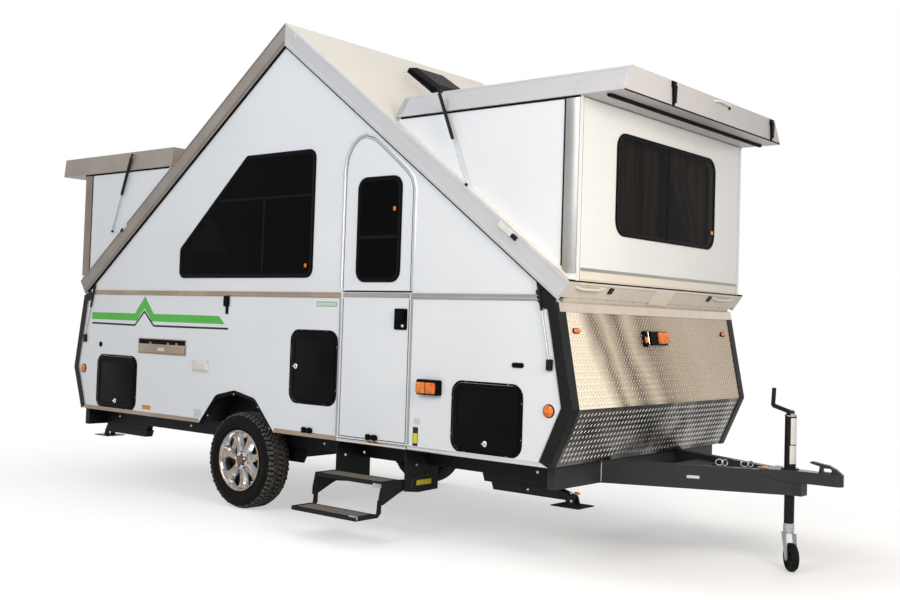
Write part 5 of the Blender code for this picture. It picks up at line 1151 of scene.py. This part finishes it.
def struts():
    """Gas struts of the dormers and lift struts of the roof, with their ball studs."""
    def strut(tube, rod, top, foot):
        """A gas strut from ball to ball: the cylinder takes a little over half of it."""
        top, foot = Vector(top), Vector(foot)
        length = (foot - top).length
        reach, tube_r, rod_r = length * 0.52, 0.0105, 0.0048
        turned(tube, top, foot,
               [(0.012, rod_r), (0.014, tube_r * 0.8), (0.018, tube_r), (reach - 0.004, tube_r),
                (reach, tube_r * 0.8), (reach + 0.002, rod_r)], 18)
        turned(rod, top, foot, [(reach, rod_r), (length - 0.014, rod_r)], 12)

    for tag, top, foot, stud_top, stud_foot in (
            ("front_right", (1.673, -1.024, 2.664), (1.910, -1.036, 2.100), 0.040, 0.016),
            ("front_left", (1.673, 1.024, 2.664), (1.910, 1.036, 2.100), 0.040, 0.016),
            ("rear_right", (-1.312, -1.060, 2.500), (-1.530, -1.060, 1.930), 0.012, 0.012),
            ("rear_left", (-1.312, 1.038, 2.360), (-1.530, 1.038, 1.930), 0.010, 0.010)):
        with piece(f"strut_{tag}_rod", zinc) as rod, piece(f"strut_{tag}_cylinder", trim_black) as tube:
            strut(tube, rod, top, foot)
            for spot, reach in ((top, stud_top), (foot, stud_foot)):
                spot = Vector(spot)
                inwards = Vector((0, -math.copysign(1, spot.y), 0))
                turned(tube, spot - inwards * 0.006, spot + inwards,
                       [(0, 0.006), (0.003, 0.0095), (0.012, 0.0095), (0.016, 0.006), (reach, 0.006)], 14)
    for tag, y in (("right", -1.044), ("left", 1.044)):
        for end, top, foot in (("front", (2.401, y, 1.690), (2.519, y, 1.106)),
                               ("rear", (-1.735, y, 1.598), (-1.862, y, 1.106))):
            with piece(f"lift_strut_{end}_{tag}", trim_black) as bm:
                top, foot = Vector(top), Vector(foot)
                length = (foot - top).length
                turned(bm, top, foot,
                       [(0, 0.0055), (0.010, 0.0075), (length * 0.50, 0.0075), (length * 0.51, 0.0045)], 14)
                sign = math.copysign(1, y)
                ball = top - Vector((0, sign * 0.004, 0))
                turned(bm, ball, ball + Vector((0, sign, 0)),
                       [(0, 0.016), (0.004, 0.016), (0.006, 0.011), (0.0105, 0.008)], 16)
                block(bm, (foot.x - 0.019, min(sign * HALF_W, y + sign * 0.006), foot.z - 0.030),
                      (foot.x + 0.019, max(sign * HALF_W, y + sign * 0.006), foot.z + 0.030), 0.003)
            with piece(f"lift_strut_rod_{end}_{tag}", zinc) as bm:
                turned(bm, top, foot, [(length * 0.505, 0.0042), (length - 0.010, 0.0042)], 12)


def flange_bits():
    """Catches and rivets on the roof's flanges, and the black bracket ahead of the belt rail."""
    flange = side_face(-ROOF_HALF_W)
    with piece("flange_catch_tips", trim_black) as tips, piece("flange_catches", abs_white) as catch:
        strip(catch, flange, [(2.168, 1.868), (2.262, 1.798)], bar_section(0.030, 0.010, 0.003))
        strip(catch, flange, [(-1.352, 1.978), (-1.392, 1.948)], bar_section(0.026, 0.008, 0.003))
        strip(catch, flange, [(0.440, 3.160), (0.470, 3.140)], bar_section(0.014, 0.006, 0.002))
        strip(tips, flange, [(2.258, 1.801), (2.288, 1.779)], bar_section(0.026, 0.013, 0.003))
        strip(tips, flange, [(-1.396, 1.945), (-1.420, 1.927)], bar_section(0.020, 0.010, 0.003))
        plate(tips, RIGHT, [(2.414, 1.504), (2.494, 1.504), (2.547, 1.462), (2.547, 1.388), (2.470, 1.405),
                            (2.430, 1.440)],
              0.0, 0.007, 0.002)
    with piece("flange_rivets", zinc) as bm:
        heads(bm, flange, [(2.282, 1.753), (2.476, 1.594), (2.561, 1.528), (-1.572, 1.772), (-1.537, 1.749)],
              0.0042, 0.0018, 0.0)


def roof_end_dress():
    """Handles, hooks, joint plates, rivets and seals at the lower ends of the roof halves."""
    for side, end in ((1, "front"), (-1, "rear")):
        cos, sin = math.cos(ROOF_SLOPE), math.sin(ROOF_SLOPE)
        low = Vector((APEX_X + side * ROOF_RUN, 0, APEX_Z - ROOF_RUN * math.tan(ROOF_SLOPE)))
        inwards = Vector((-side * sin, 0, -cos))
        out = Vector((side * cos, 0, -sin))
        face = Face(low, (0, 1, 0), -inwards, out)
        for y, hand in ((-0.80, "right"), (0.80, "left")):
            with piece(f"roof_handle_{end}_{hand}", abs_white) as bm:
                path = bent([face.at(y - 0.16, -0.030, -0.004), face.at(y - 0.11, -0.036, 0.010),
                             face.at(y + 0.06, -0.036, 0.010), face.at(y + 0.13, -0.026, -0.004)], 0.03)
                pipe(bm, path, 0.0085, 12)
            with piece(f"roof_hook_{end}_{hand}", trim_black) as bm:
                v = y + (0.20 if hand == "right" else -0.20)
                plate(bm, face, rectangle(v - 0.020, v + 0.020, -0.058, -0.020, 0.004), -0.004, 0.008, 0.002)
        with piece(f"roof_joint_{end}", aluminium_cream) as bm:
            plate(bm, face, rectangle(-0.110, 0.120, -0.116, -0.006, 0.002, 2), 0.0, 0.0016, 0.0006)
        with piece(f"roof_end_rivets_{end}", zinc) as bm:
            heads(bm, face, [(-0.98 + 0.14 * k, -0.104) for k in range(15)], 0.0040, 0.0018, 0.0)
        with piece(f"roof_foot_seal_{end}", rubber_black) as bm:
            slope = ROOF_FRONT if side > 0 else ROOF_REAR
            strip(bm, slope,
                  [(-ROOF_HALF_W + 0.004, SLOPE_RUN - 0.008), (ROOF_HALF_W - 0.004, SLOPE_RUN - 0.008)],
                  bar_section(0.013, 0.006, 0.002))


# Running gear


def tyre(sign, hand):
    """All-terrain tyre: carcass with sidewall ribs, and lugs that end at the CAD tyre's radius."""
    centre = Vector((0, 0, AXLE_Z))
    out = WHEEL_FACE_Y + TYRE_PROUD
    inn = out - TYRE_W
    base = TYRE_R - LUG_HEIGHT
    seat, lip = RIM_SEAT_R + 0.0005, RIM_LIP_R + 0.0045
    outer = [(seat, WHEEL_FACE_Y - 0.022), (lip, WHEEL_FACE_Y - 0.014), (RIM_LIP_R + 0.010, out - 0.010),
             (RIM_LIP_R + 0.018, out - 0.006), (RIM_LIP_R + 0.022, out - 0.0035),
             (RIM_LIP_R + 0.026, out - 0.005), (RIM_LIP_R + 0.052, out), (RIM_LIP_R + 0.058, out + 0.0012),
             (RIM_LIP_R + 0.062, out - 0.001), (SHOULDER_R - 0.014, out - 0.006),
             (SHOULDER_R - 0.002, out - 0.012), (base - 0.003, out - 0.026), (base, out - 0.046)]
    inner = [(r, inn + (out - y)) for r, y in reversed(outer)]
    well = [(seat + 0.014, inn + 0.040), (seat + 0.014, out - 0.040)]
    bm = bmesh.new()
    steps = 120
    rows = []
    for r, y in outer + inner + well:
        rows.append([bm.verts.new(centre + Vector((r * math.cos(a), sign * y, r * math.sin(a))))
                     for a in (2 * math.pi * k / steps for k in range(steps))])
    bridge(bm, rows, closed_across=True)

    def lug(turn, low_y, high_y, half_deg, skew_deg, low_r, drop):
        """One tread block, from its foot in the carcass to its face, which falls off by drop."""
        verts = []
        for r, shrink in ((low_r, 1.0), (TYRE_R, 0.84)):
            for y, side in ((low_y, -1), (high_y, 1)):
                fall = drop if y == high_y and r == TYRE_R else 0.0
                for half in (-1, 1):
                    a = math.radians(turn + half * half_deg * shrink + side * skew_deg)
                    verts.append(bm.verts.new(centre + Vector(((r - fall) * math.cos(a), sign * y,
                                                               (r - fall) * math.sin(a)))))
        for f in ((4, 5, 7, 6), (0, 1, 5, 4), (2, 3, 7, 6), (0, 2, 6, 4), (1, 3, 7, 5)):
            bm.faces.new([verts[k] for k in f]).material_index = 1

    middle = (out + inn) / 2
    rows_of_lugs = ((0.013, 0.029, 2.1, 1.6),
                    (0.033, 0.049, 2.1, -1.4))     # from, to, half width, skew in degrees
    for k in range(LUGS_ROUND):
        turn = 360 * k / LUGS_ROUND
        for flip in (-1, 1):
            edge = middle + flip * (TYRE_W / 2 - 0.010 - 0.003 * (k % 2))
            shoulder = middle + flip * (TYRE_W / 2 - 0.044)
            lug(turn + (2 if flip > 0 else 5), shoulder, edge, 2.3, flip * 0.4, base - 0.014, 0.014)
            for j, (near, far, half_deg, skew) in enumerate(rows_of_lugs):
                lug(turn + (3.2 if flip > 0 else 0.8) + 1.9 * j, middle + flip * near, middle + flip * far,
                    half_deg, flip * skew, base - 0.003, 0)
        lug(turn + 2.4, middle - 0.009, middle + 0.009, 2.2, 1.2, base - 0.003, 0)
    obj = dress(bm, f"tyre_{hand}_treaded", f"wheel_{hand}", (tyre_rubber, tyre_dusty), sharp=30)
    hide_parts(f"tyre_{hand}")


def wheel_cast(sign, hand):
    """Alloy wheel: barrel and lip, seven spokes with machined faces, hub, centre cap and nuts."""
    hub = Vector((0, sign * WHEEL_FACE_Y, AXLE_Z))
    out = Vector((0, sign, 0))
    bm = bmesh.new()
    barrel = [(RIM_LIP_R, -0.014), (RIM_LIP_R, -0.002), (0.2035, 0.0), (0.198, 0.0), (0.196, -0.003),
              (0.1925, -0.005), (0.189, -0.012), (0.183, -0.034), (0.178, -0.060), (0.176, -0.110),
              (0.176, -0.150), (0.186, -0.176), (RIM_LIP_R, -0.178), (RIM_LIP_R, -0.184),
              (RIM_SEAT_R, -0.170), (0.181, -0.145), (0.181, -0.050), (RIM_SEAT_R, -0.022)]
    steps = 84
    rows = []
    for r, o in barrel:
        spots = (2 * math.pi * k / steps for k in range(steps))
        rows.append([bm.verts.new(hub + Vector((r * math.cos(a), sign * o, r * math.sin(a)))) for a in spots])
    bridge(bm, rows, closed_across=True)
    # The lip takes the faces' painted brown reflection
    for face in bm.faces:
        reaches = [math.hypot(v.co.x, v.co.z - AXLE_Z) for v in face.verts]
        depth = min(abs(v.co.y) for v in face.verts)
        if min(reaches) > 0.1920 and depth > WHEEL_FACE_Y - 0.0145:
            face.material_index = 1
    # Radius, half width and face of a spoke
    stations = [(0.046, 0.0190, -0.026), (0.070, 0.0150, -0.026), (0.105, 0.0145, -0.030),
                (0.145, 0.0175, -0.033), (0.168, 0.0240, -0.031), (0.184, 0.0360, -0.022)]
    tops = set()
    for k in range(SPOKES):
        angle = math.radians(SPOKE_TURN + 360 * k / SPOKES)
        along = Vector((math.cos(angle), 0, math.sin(angle)))
        across = Vector((-math.sin(angle), 0, math.cos(angle)))
        rows = []
        for r, half, o in stations:
            spot = hub + along * r
            line = [(-half - 0.017, -0.064), (-half - 0.007, o - 0.012), (-half, o), (half, o),
                    (half + 0.007, o - 0.012), (half + 0.017, -0.064)]
            rows.append([bm.verts.new(spot + across * a + out * b) for a, b in line])
        bridge(bm, rows, closed_rows=True)
        bm.faces.new(rows[0][::-1])
        bm.faces.new(rows[-1])
        tops.update(v for row in rows for v in row[2:4])
    for face in bm.faces:
        if tops.issuperset(face.verts):
            face.material_index = 1
    turned(bm, hub - out * 0.072, hub + out, [(0, 0.058), (0.044, 0.060), (0.047, 0.058), (0.048, 0.050)], 36)
    obj = dress(bm, f"wheel_{hand}_cast", f"wheel_{hand}", (alloy, alloy_faces), sharp=28)
    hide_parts(f"wheel_{hand}")
    with piece(f"wheel_cap_{hand}", cap_brown, f"wheel_{hand}") as bm:
        turned(bm, hub - out * 0.026, hub + out,
               [(0, 0.032), (0.014, 0.032), (0.019, 0.029), (0.022, 0.022), (0.023, 0.010)], 28)
    nut = [(0, 0.0105), (0.003, 0.0100), (0.004, 0.0090), (0.015, 0.0085), (0.018, 0.0055)]
    # Dark seats under the nuts: painted shade in their pockets
    shaded_pocket = [(0, 0.0150), (0.0024, 0.0150), (0.0030, 0.0140)]
    for tag, section, steps, finish in (("nuts", nut, 6, chrome), ("nut_pockets_shaded", shaded_pocket, 18, iron_and_painted_shade)):
        with piece(f"wheel_{tag}_{hand}", finish, f"wheel_{hand}") as bm:
            for k in range(NUTS):
                angle = 2 * math.pi * (k + 0.25) / NUTS
                across = Vector((NUT_CIRCLE_R * math.cos(angle), 0, NUT_CIRCLE_R * math.sin(angle)))
                spot = hub + across - out * 0.026
                turned(bm, spot, spot + out, section, steps)
    # A dark disc behind the spokes for the brake and hub: painted shade there too
    with piece(f"wheel_shade_{hand}", iron_and_painted_shade, f"wheel_{hand}") as bm:
        turned(bm, hub - out * 0.095, hub + out, [(0, 0.150), (0.010, 0.150), (0.014, 0.140)], 40)


# Chassis, tongue and jack


def chassis_dress():
    """Bolts, weld line, reflector, chain loops and brass fittings of the chassis and its tongue."""
    with piece("frame_bolts", zinc) as bm:
        rail = side_face(-0.805)
        heads(bm, rail, [(x, 0.500) for x in (-1.70, -0.80, 0.60, 1.40, 2.30)], 0.011, 0.007)
        stab = side_face(-0.860)
        heads(bm, stab, [(2.276, 0.405), (2.562, 0.420), (2.562, 0.377)], 0.008, 0.006)
    run = Vector((0.95, 0.43, 0)).normalized()
    rail = Face((2.5, -0.47, 0), run, (0, 0, 1), (run.y, -run.x, 0))
    with piece("tongue_weld_and_reflector", film_white) as bm:
        strip(bm, rail, [(0.004, 0.440), (0.004, 0.558)], bar_section(0.005, 0.0025, 0.001))
        plate(bm, rail, rectangle(0.480, 0.550, 0.490, 0.506, 0.003, 2), 0.0, 0.003, 0.001)
    with piece("safety_chain_loops", zinc) as bm:
        for x, y, turn in ((3.080, -0.165, 0.5), (3.110, -0.160, 1.2), (3.205, -0.110, 0.6),
                           (3.235, -0.100, 1.3)):
            level, upright = Vector((math.cos(turn), math.sin(turn), 0)), Vector((0, 0, 0.017))
            pipe(bm, [Vector((x, y, 0.5830)) + level * 0.020 * math.cos(a) + upright * math.sin(a)
                      for a in (2 * math.pi * k / 20 for k in range(20))], 0.0040, 8, closed=True)
    with piece("brass_fittings", brass) as bm:
        turned(bm, (3.270, -0.085, 0.570), (3.330, -0.058, 0.572),
               [(0, 0.004), (0.006, 0.006), (0.050, 0.006), (0.056, 0.004)], 14)
        turned(bm, (2.575, -0.845, 0.418), (2.640, -0.845, 0.418),
               [(0, 0.008), (0.026, 0.008), (0.030, 0.005)], 14)


def jack_dress():
    """Labels, crank finish and cap of the tongue jack."""
    axis = Vector((JACK_X, 0, 0))
    with piece("jack_labels", film_white) as bm:
        for low, high, half_deg, middle in ((0.600, 0.700, 44, 332), (0.706, 0.850, 38, 332)):
            rows = []
            for z in (low, high):
                rows.append([bm.verts.new(axis + Vector((0.0320 * math.cos(math.radians(a)),
                                                         0.0320 * math.sin(math.radians(a)), z)))
                             for a in [middle - half_deg + 2 * half_deg * k / 8 for k in range(9)]])
            bridge(bm, rows, closed_rows=False)
    with piece("jack_cap", zinc) as bm:
        turned(bm, (JACK_X, 0, 0.858), (JACK_X, 0, 1),
               [(0, 0.0335), (0.006, 0.0335), (0.012, 0.027), (0.016, 0.022)], 24)
        turned(bm, (3.414, -0.002, 0.885), (3.342, -0.028, 0.909),
               [(0, 0.0108), (0.060, 0.0108), (0.066, 0.0100)], 14)


def step_dress():
    """Grit strips and clips of the treads, and the housing's arch, bolts and blank label."""
    for body, z, low_y in (("step_upper", 0.383, -1.205), ("step_lower", 0.203, -1.400)):
        with piece(body + "_grit", tread_grit, body) as bm:
            low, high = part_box(body)
            low, high = low - SHIFT, high - SHIFT
            face = Face((0, 0, z), (1, 0, 0), (0, 1, 0), (0, 0, 1))
            plate(bm, face, rectangle(low.x + 0.030, high.x - 0.030, low_y + 0.022, low_y + 0.145, 0.008), 0,
                  0.0014, 0.0005)
    with piece("step_label", film_yellow) as bm:
        label = Face((1.506, 0, 0), (0, 1, 0), (0, 0, 1), (1, 0, 0))
        plate(bm, label, rectangle(-0.917, -0.783, 0.342, 0.372, 0.003), 0, 0.0006, 0.0002)
    with piece("step_arch", frame_paint) as bm:
        pipe(bm, [label.at(-0.861 + 0.105 * math.cos(a), 0.338 + 0.066 * math.sin(a), 0.001)
                  for a in (math.pi * k / 14 for k in range(15))], 0.0045, 8)
    with piece("step_bolts", zinc) as bm:
        heads(bm, label, [(-0.922, 0.466), (-0.759, 0.477)], 0.009, 0.005)
        heads(bm, side_face(-1.022), [(1.013, 0.482), (1.172, 0.512)], 0.009, 0.005)
    for body, low, high in (("step_upper", (1.436, -1.2245, 0.352), (1.4945, -1.208, 0.376)),
                            ("step_lower", (1.425, -1.3998, 0.186), (1.4835, -1.384, 0.210))):
        with piece(body + "_clip", zinc, body) as bm:
            block(bm, low, high, 0.002)


def vent_dress():
    """Flange screws of the roof vent."""
    x = (0.765 - APEX_X) / math.cos(ROOF_SLOPE)
    with piece("vent_screws", zinc) as bm:
        half, middle_y = 0.195, 0.020
        spots = [(middle_y + a * half, x + b * half) for a in (-1, 0, 1) for b in (-1, 0, 1) if a or b]
        heads(bm, ROOF_FRONT, spots, 0.005, 0.002, 0.007)


def tail_dress():
    """Tail lamps, blank plate holder and knee strip at the rear."""
    with piece("tail_lamp_lenses", lens_red) as lens, piece("tail_lamp_bases", abs_black) as bm:
        for y in (-0.80, 0.80):
            moulding(bm, TAIL, shrinking(y - 0.078, y + 0.078, 0.050, 0.250, 0.024),
                     [(0, 0), (0, 0.008), (0.003, 0.012), (0.008, 0.012)])
            moulding(lens, TAIL, shrinking(y - 0.066, y + 0.066, 0.062, 0.238, 0.018),
                     [(0, 0.011), (0.001, 0.024), (0.006, 0.032), (0.016, 0.035)])
    with piece("plate_holder", abs_black) as bm:
        moulding(bm, TAIL, shrinking(-0.165, 0.165, 0.080, 0.250, 0.010),
                 [(0, 0), (0, 0.006), (0.003, 0.009), (0.008, 0.007), (0.010, 0.004)])
    with piece("blank_plate", film_white) as bm:
        plate(bm, TAIL, rectangle(-0.152, 0.152, 0.091, 0.239, 0.008), 0.004, 0.0055, 0.0005)
    with piece("tail_knee_strip", aluminium) as bm:
        strip(bm, TAIL, [(-HALF_W + TRIM_W + 0.004, 0.0), (HALF_W - TRIM_W - 0.004, 0.0)],
              [(-0.012, 0), (-0.012, 0.002), (0.0, 0.0045), (0.012, 0.002), (0.012, 0)])


# Stage


def background_seen(tree):
    """1 for a ray from the camera, a reflection or a pane, all of which see a white background."""
    ray = add(tree, "LightPath")
    seen = add(tree, "Math", {0: ray.outputs["Is Camera Ray"], 1: ray.outputs["Is Glossy Ray"]},
               operation="MAXIMUM")
    return add(tree, "Math", {0: seen.outputs[0], 1: ray.outputs["Is Transmission Ray"]}, operation="MAXIMUM")


def stage():
    """Pale floor, white away from the trailer's shadow and with a painted shadow round the tongue; white
    surroundings, soft lamps.
    """
    floor = bpy.data.meshes.new("floor_sheet")
    bm = bmesh.new()
    bmesh.ops.create_grid(bm, x_segments=1, y_segments=1, size=40)
    bm.to_mesh(floor)
    bm.free()
    ground = bpy.data.objects.new("studio_floor", floor)
    bpy.context.scene.collection.objects.link(ground)
    material = bpy.data.materials.new("studio_floor")
    material.use_nodes = True
    tree = material.node_tree
    tree.nodes.remove(tree.nodes["Principled BSDF"])
    seen = background_seen(tree)
    soft = add(tree, "BsdfDiffuse", {"Color": (0.60, 0.60, 0.60, 1)})
    place = add(tree, "TexCoord").outputs["Object"]
    # Painted shadow: the floor glows less round the tongue and the jack
    from_tongue = add(tree, "Mapping",
                      {"Vector": place, "Location": (-SHIFT.x - 3.1, -SHIFT.y, 0), "Scale": (1, 1, 0)})
    off_painted_shadow = add(tree, "VectorMath", {0: from_tongue.outputs["Vector"]}, operation="LENGTH")
    strength = add(tree, "MapRange", {"Value": off_painted_shadow.outputs["Value"], "From Min": 0.5, "From Max": 1.5,
                                      "To Min": 0.33, "To Max": 0.51}, interpolation_type="SMOOTHSTEP")
    glow = add(tree, "Emission", {"Color": (1, 1, 1, 1), "Strength": strength.outputs["Result"]})
    near = add(tree, "AddShader", {0: soft.outputs[0], 1: glow.outputs[0]})
    centred = add(tree, "Mapping",
                  {"Vector": place, "Location": (-SHIFT.x - 0.6, -SHIFT.y, 0), "Scale": (1, 1, 0)})
    squeezed = add(tree, "Mapping", {"Vector": centred.outputs["Vector"], "Scale": (0.66, 1, 1)})
    reach = add(tree, "VectorMath", {0: squeezed.outputs["Vector"]}, operation="LENGTH")
    fade = add(tree, "MapRange", {"Value": reach.outputs["Value"], "From Min": 2.1, "From Max": 3.3},
               interpolation_type="SMOOTHSTEP")
    white = add(tree, "Emission", {"Color": (1, 1, 1, 1), "Strength": 1.0})
    both = add(tree, "MixShader", {0: fade.outputs["Result"], 1: near.outputs[0], 2: white.outputs[0]})
    plain = add(tree, "BsdfDiffuse", {"Color": (0.60, 0.59, 0.57, 1)})
    mixed = add(tree, "MixShader", {0: seen.outputs[0], 1: plain.outputs[0], 2: both.outputs[0]})
    tree.links.new(mixed.outputs[0], tree.nodes["Material Output"].inputs["Surface"])
    floor.materials.append(material)

    world = bpy.data.worlds.new("studio")
    world.use_nodes = True
    tree = world.node_tree
    background = tree.nodes["Background"]
    seen = background_seen(tree)
    strength = add(tree, "MapRange", {"Value": seen.outputs[0], "To Min": WORLD_LIGHT, "To Max": 1.0})
    tree.links.new(strength.outputs[0], background.inputs["Strength"])
    background.inputs["Color"].default_value = (1, 1, 1, 1)
    bpy.context.scene.world = world

    for name, place, aim, size, power, colour in LAMPS:
        lamp = bpy.data.lights.new(name, "AREA")
        lamp.shape, lamp.size, lamp.energy = "SQUARE", size, power
        lamp.color = srgb(colour)[:3]
        obj = bpy.data.objects.new(name, lamp)
        here, there = Vector(place) + SHIFT, Vector(aim) + SHIFT
        turn = (there - here).to_track_quat("-Z", "Y").to_matrix().to_4x4()
        obj.matrix_world = Matrix.Translation(here) @ turn
        bpy.context.scene.collection.objects.link(obj)
    bpy.context.scene.view_settings.view_transform = "Standard"


def camera():
    """The photograph's camera."""
    yaw, pitch, roll = (math.radians(a) for a in (CAMERA_YAW, CAMERA_PITCH, CAMERA_ROLL))
    ahead = Vector((math.cos(yaw) * math.cos(pitch), math.sin(yaw) * math.cos(pitch), math.sin(pitch)))
    level = ahead.cross(Vector((0, 0, 1))).normalized()
    upright = level.cross(ahead)
    right = level * math.cos(roll) + upright * math.sin(roll)
    up = upright * math.cos(roll) - level * math.sin(roll)
    data = bpy.data.cameras.new("camera")
    data.lens, data.sensor_width = CAMERA_LENS, SENSOR_W
    data.shift_x, data.shift_y = CAMERA_SHIFT
    obj = bpy.data.objects.new("camera", data)
    turn = Matrix((right, up, -ahead)).transposed().to_4x4()
    obj.matrix_world = Matrix.Translation(Vector(CAMERA_PLACE) + SHIFT) @ turn
    bpy.context.scene.collection.objects.link(obj)
    bpy.context.scene.camera = obj


camera()
stage()
corner_trims()
body_rails()
windows()
curtains()
roof_trims()
nose_tread()
nose_fittings()
stripes()
labels()
hatch_dress()
door_dress()
side_fittings()
arch_dress()
dormer_dress()
struts()
flange_bits()
roof_end_dress()
for sign, hand in ((-1, "right"), (1, "left")):
    tyre(sign, hand)
    wheel_cast(sign, hand)
chassis_dress()
jack_dress()
step_dress()
vent_dress()
tail_dress()
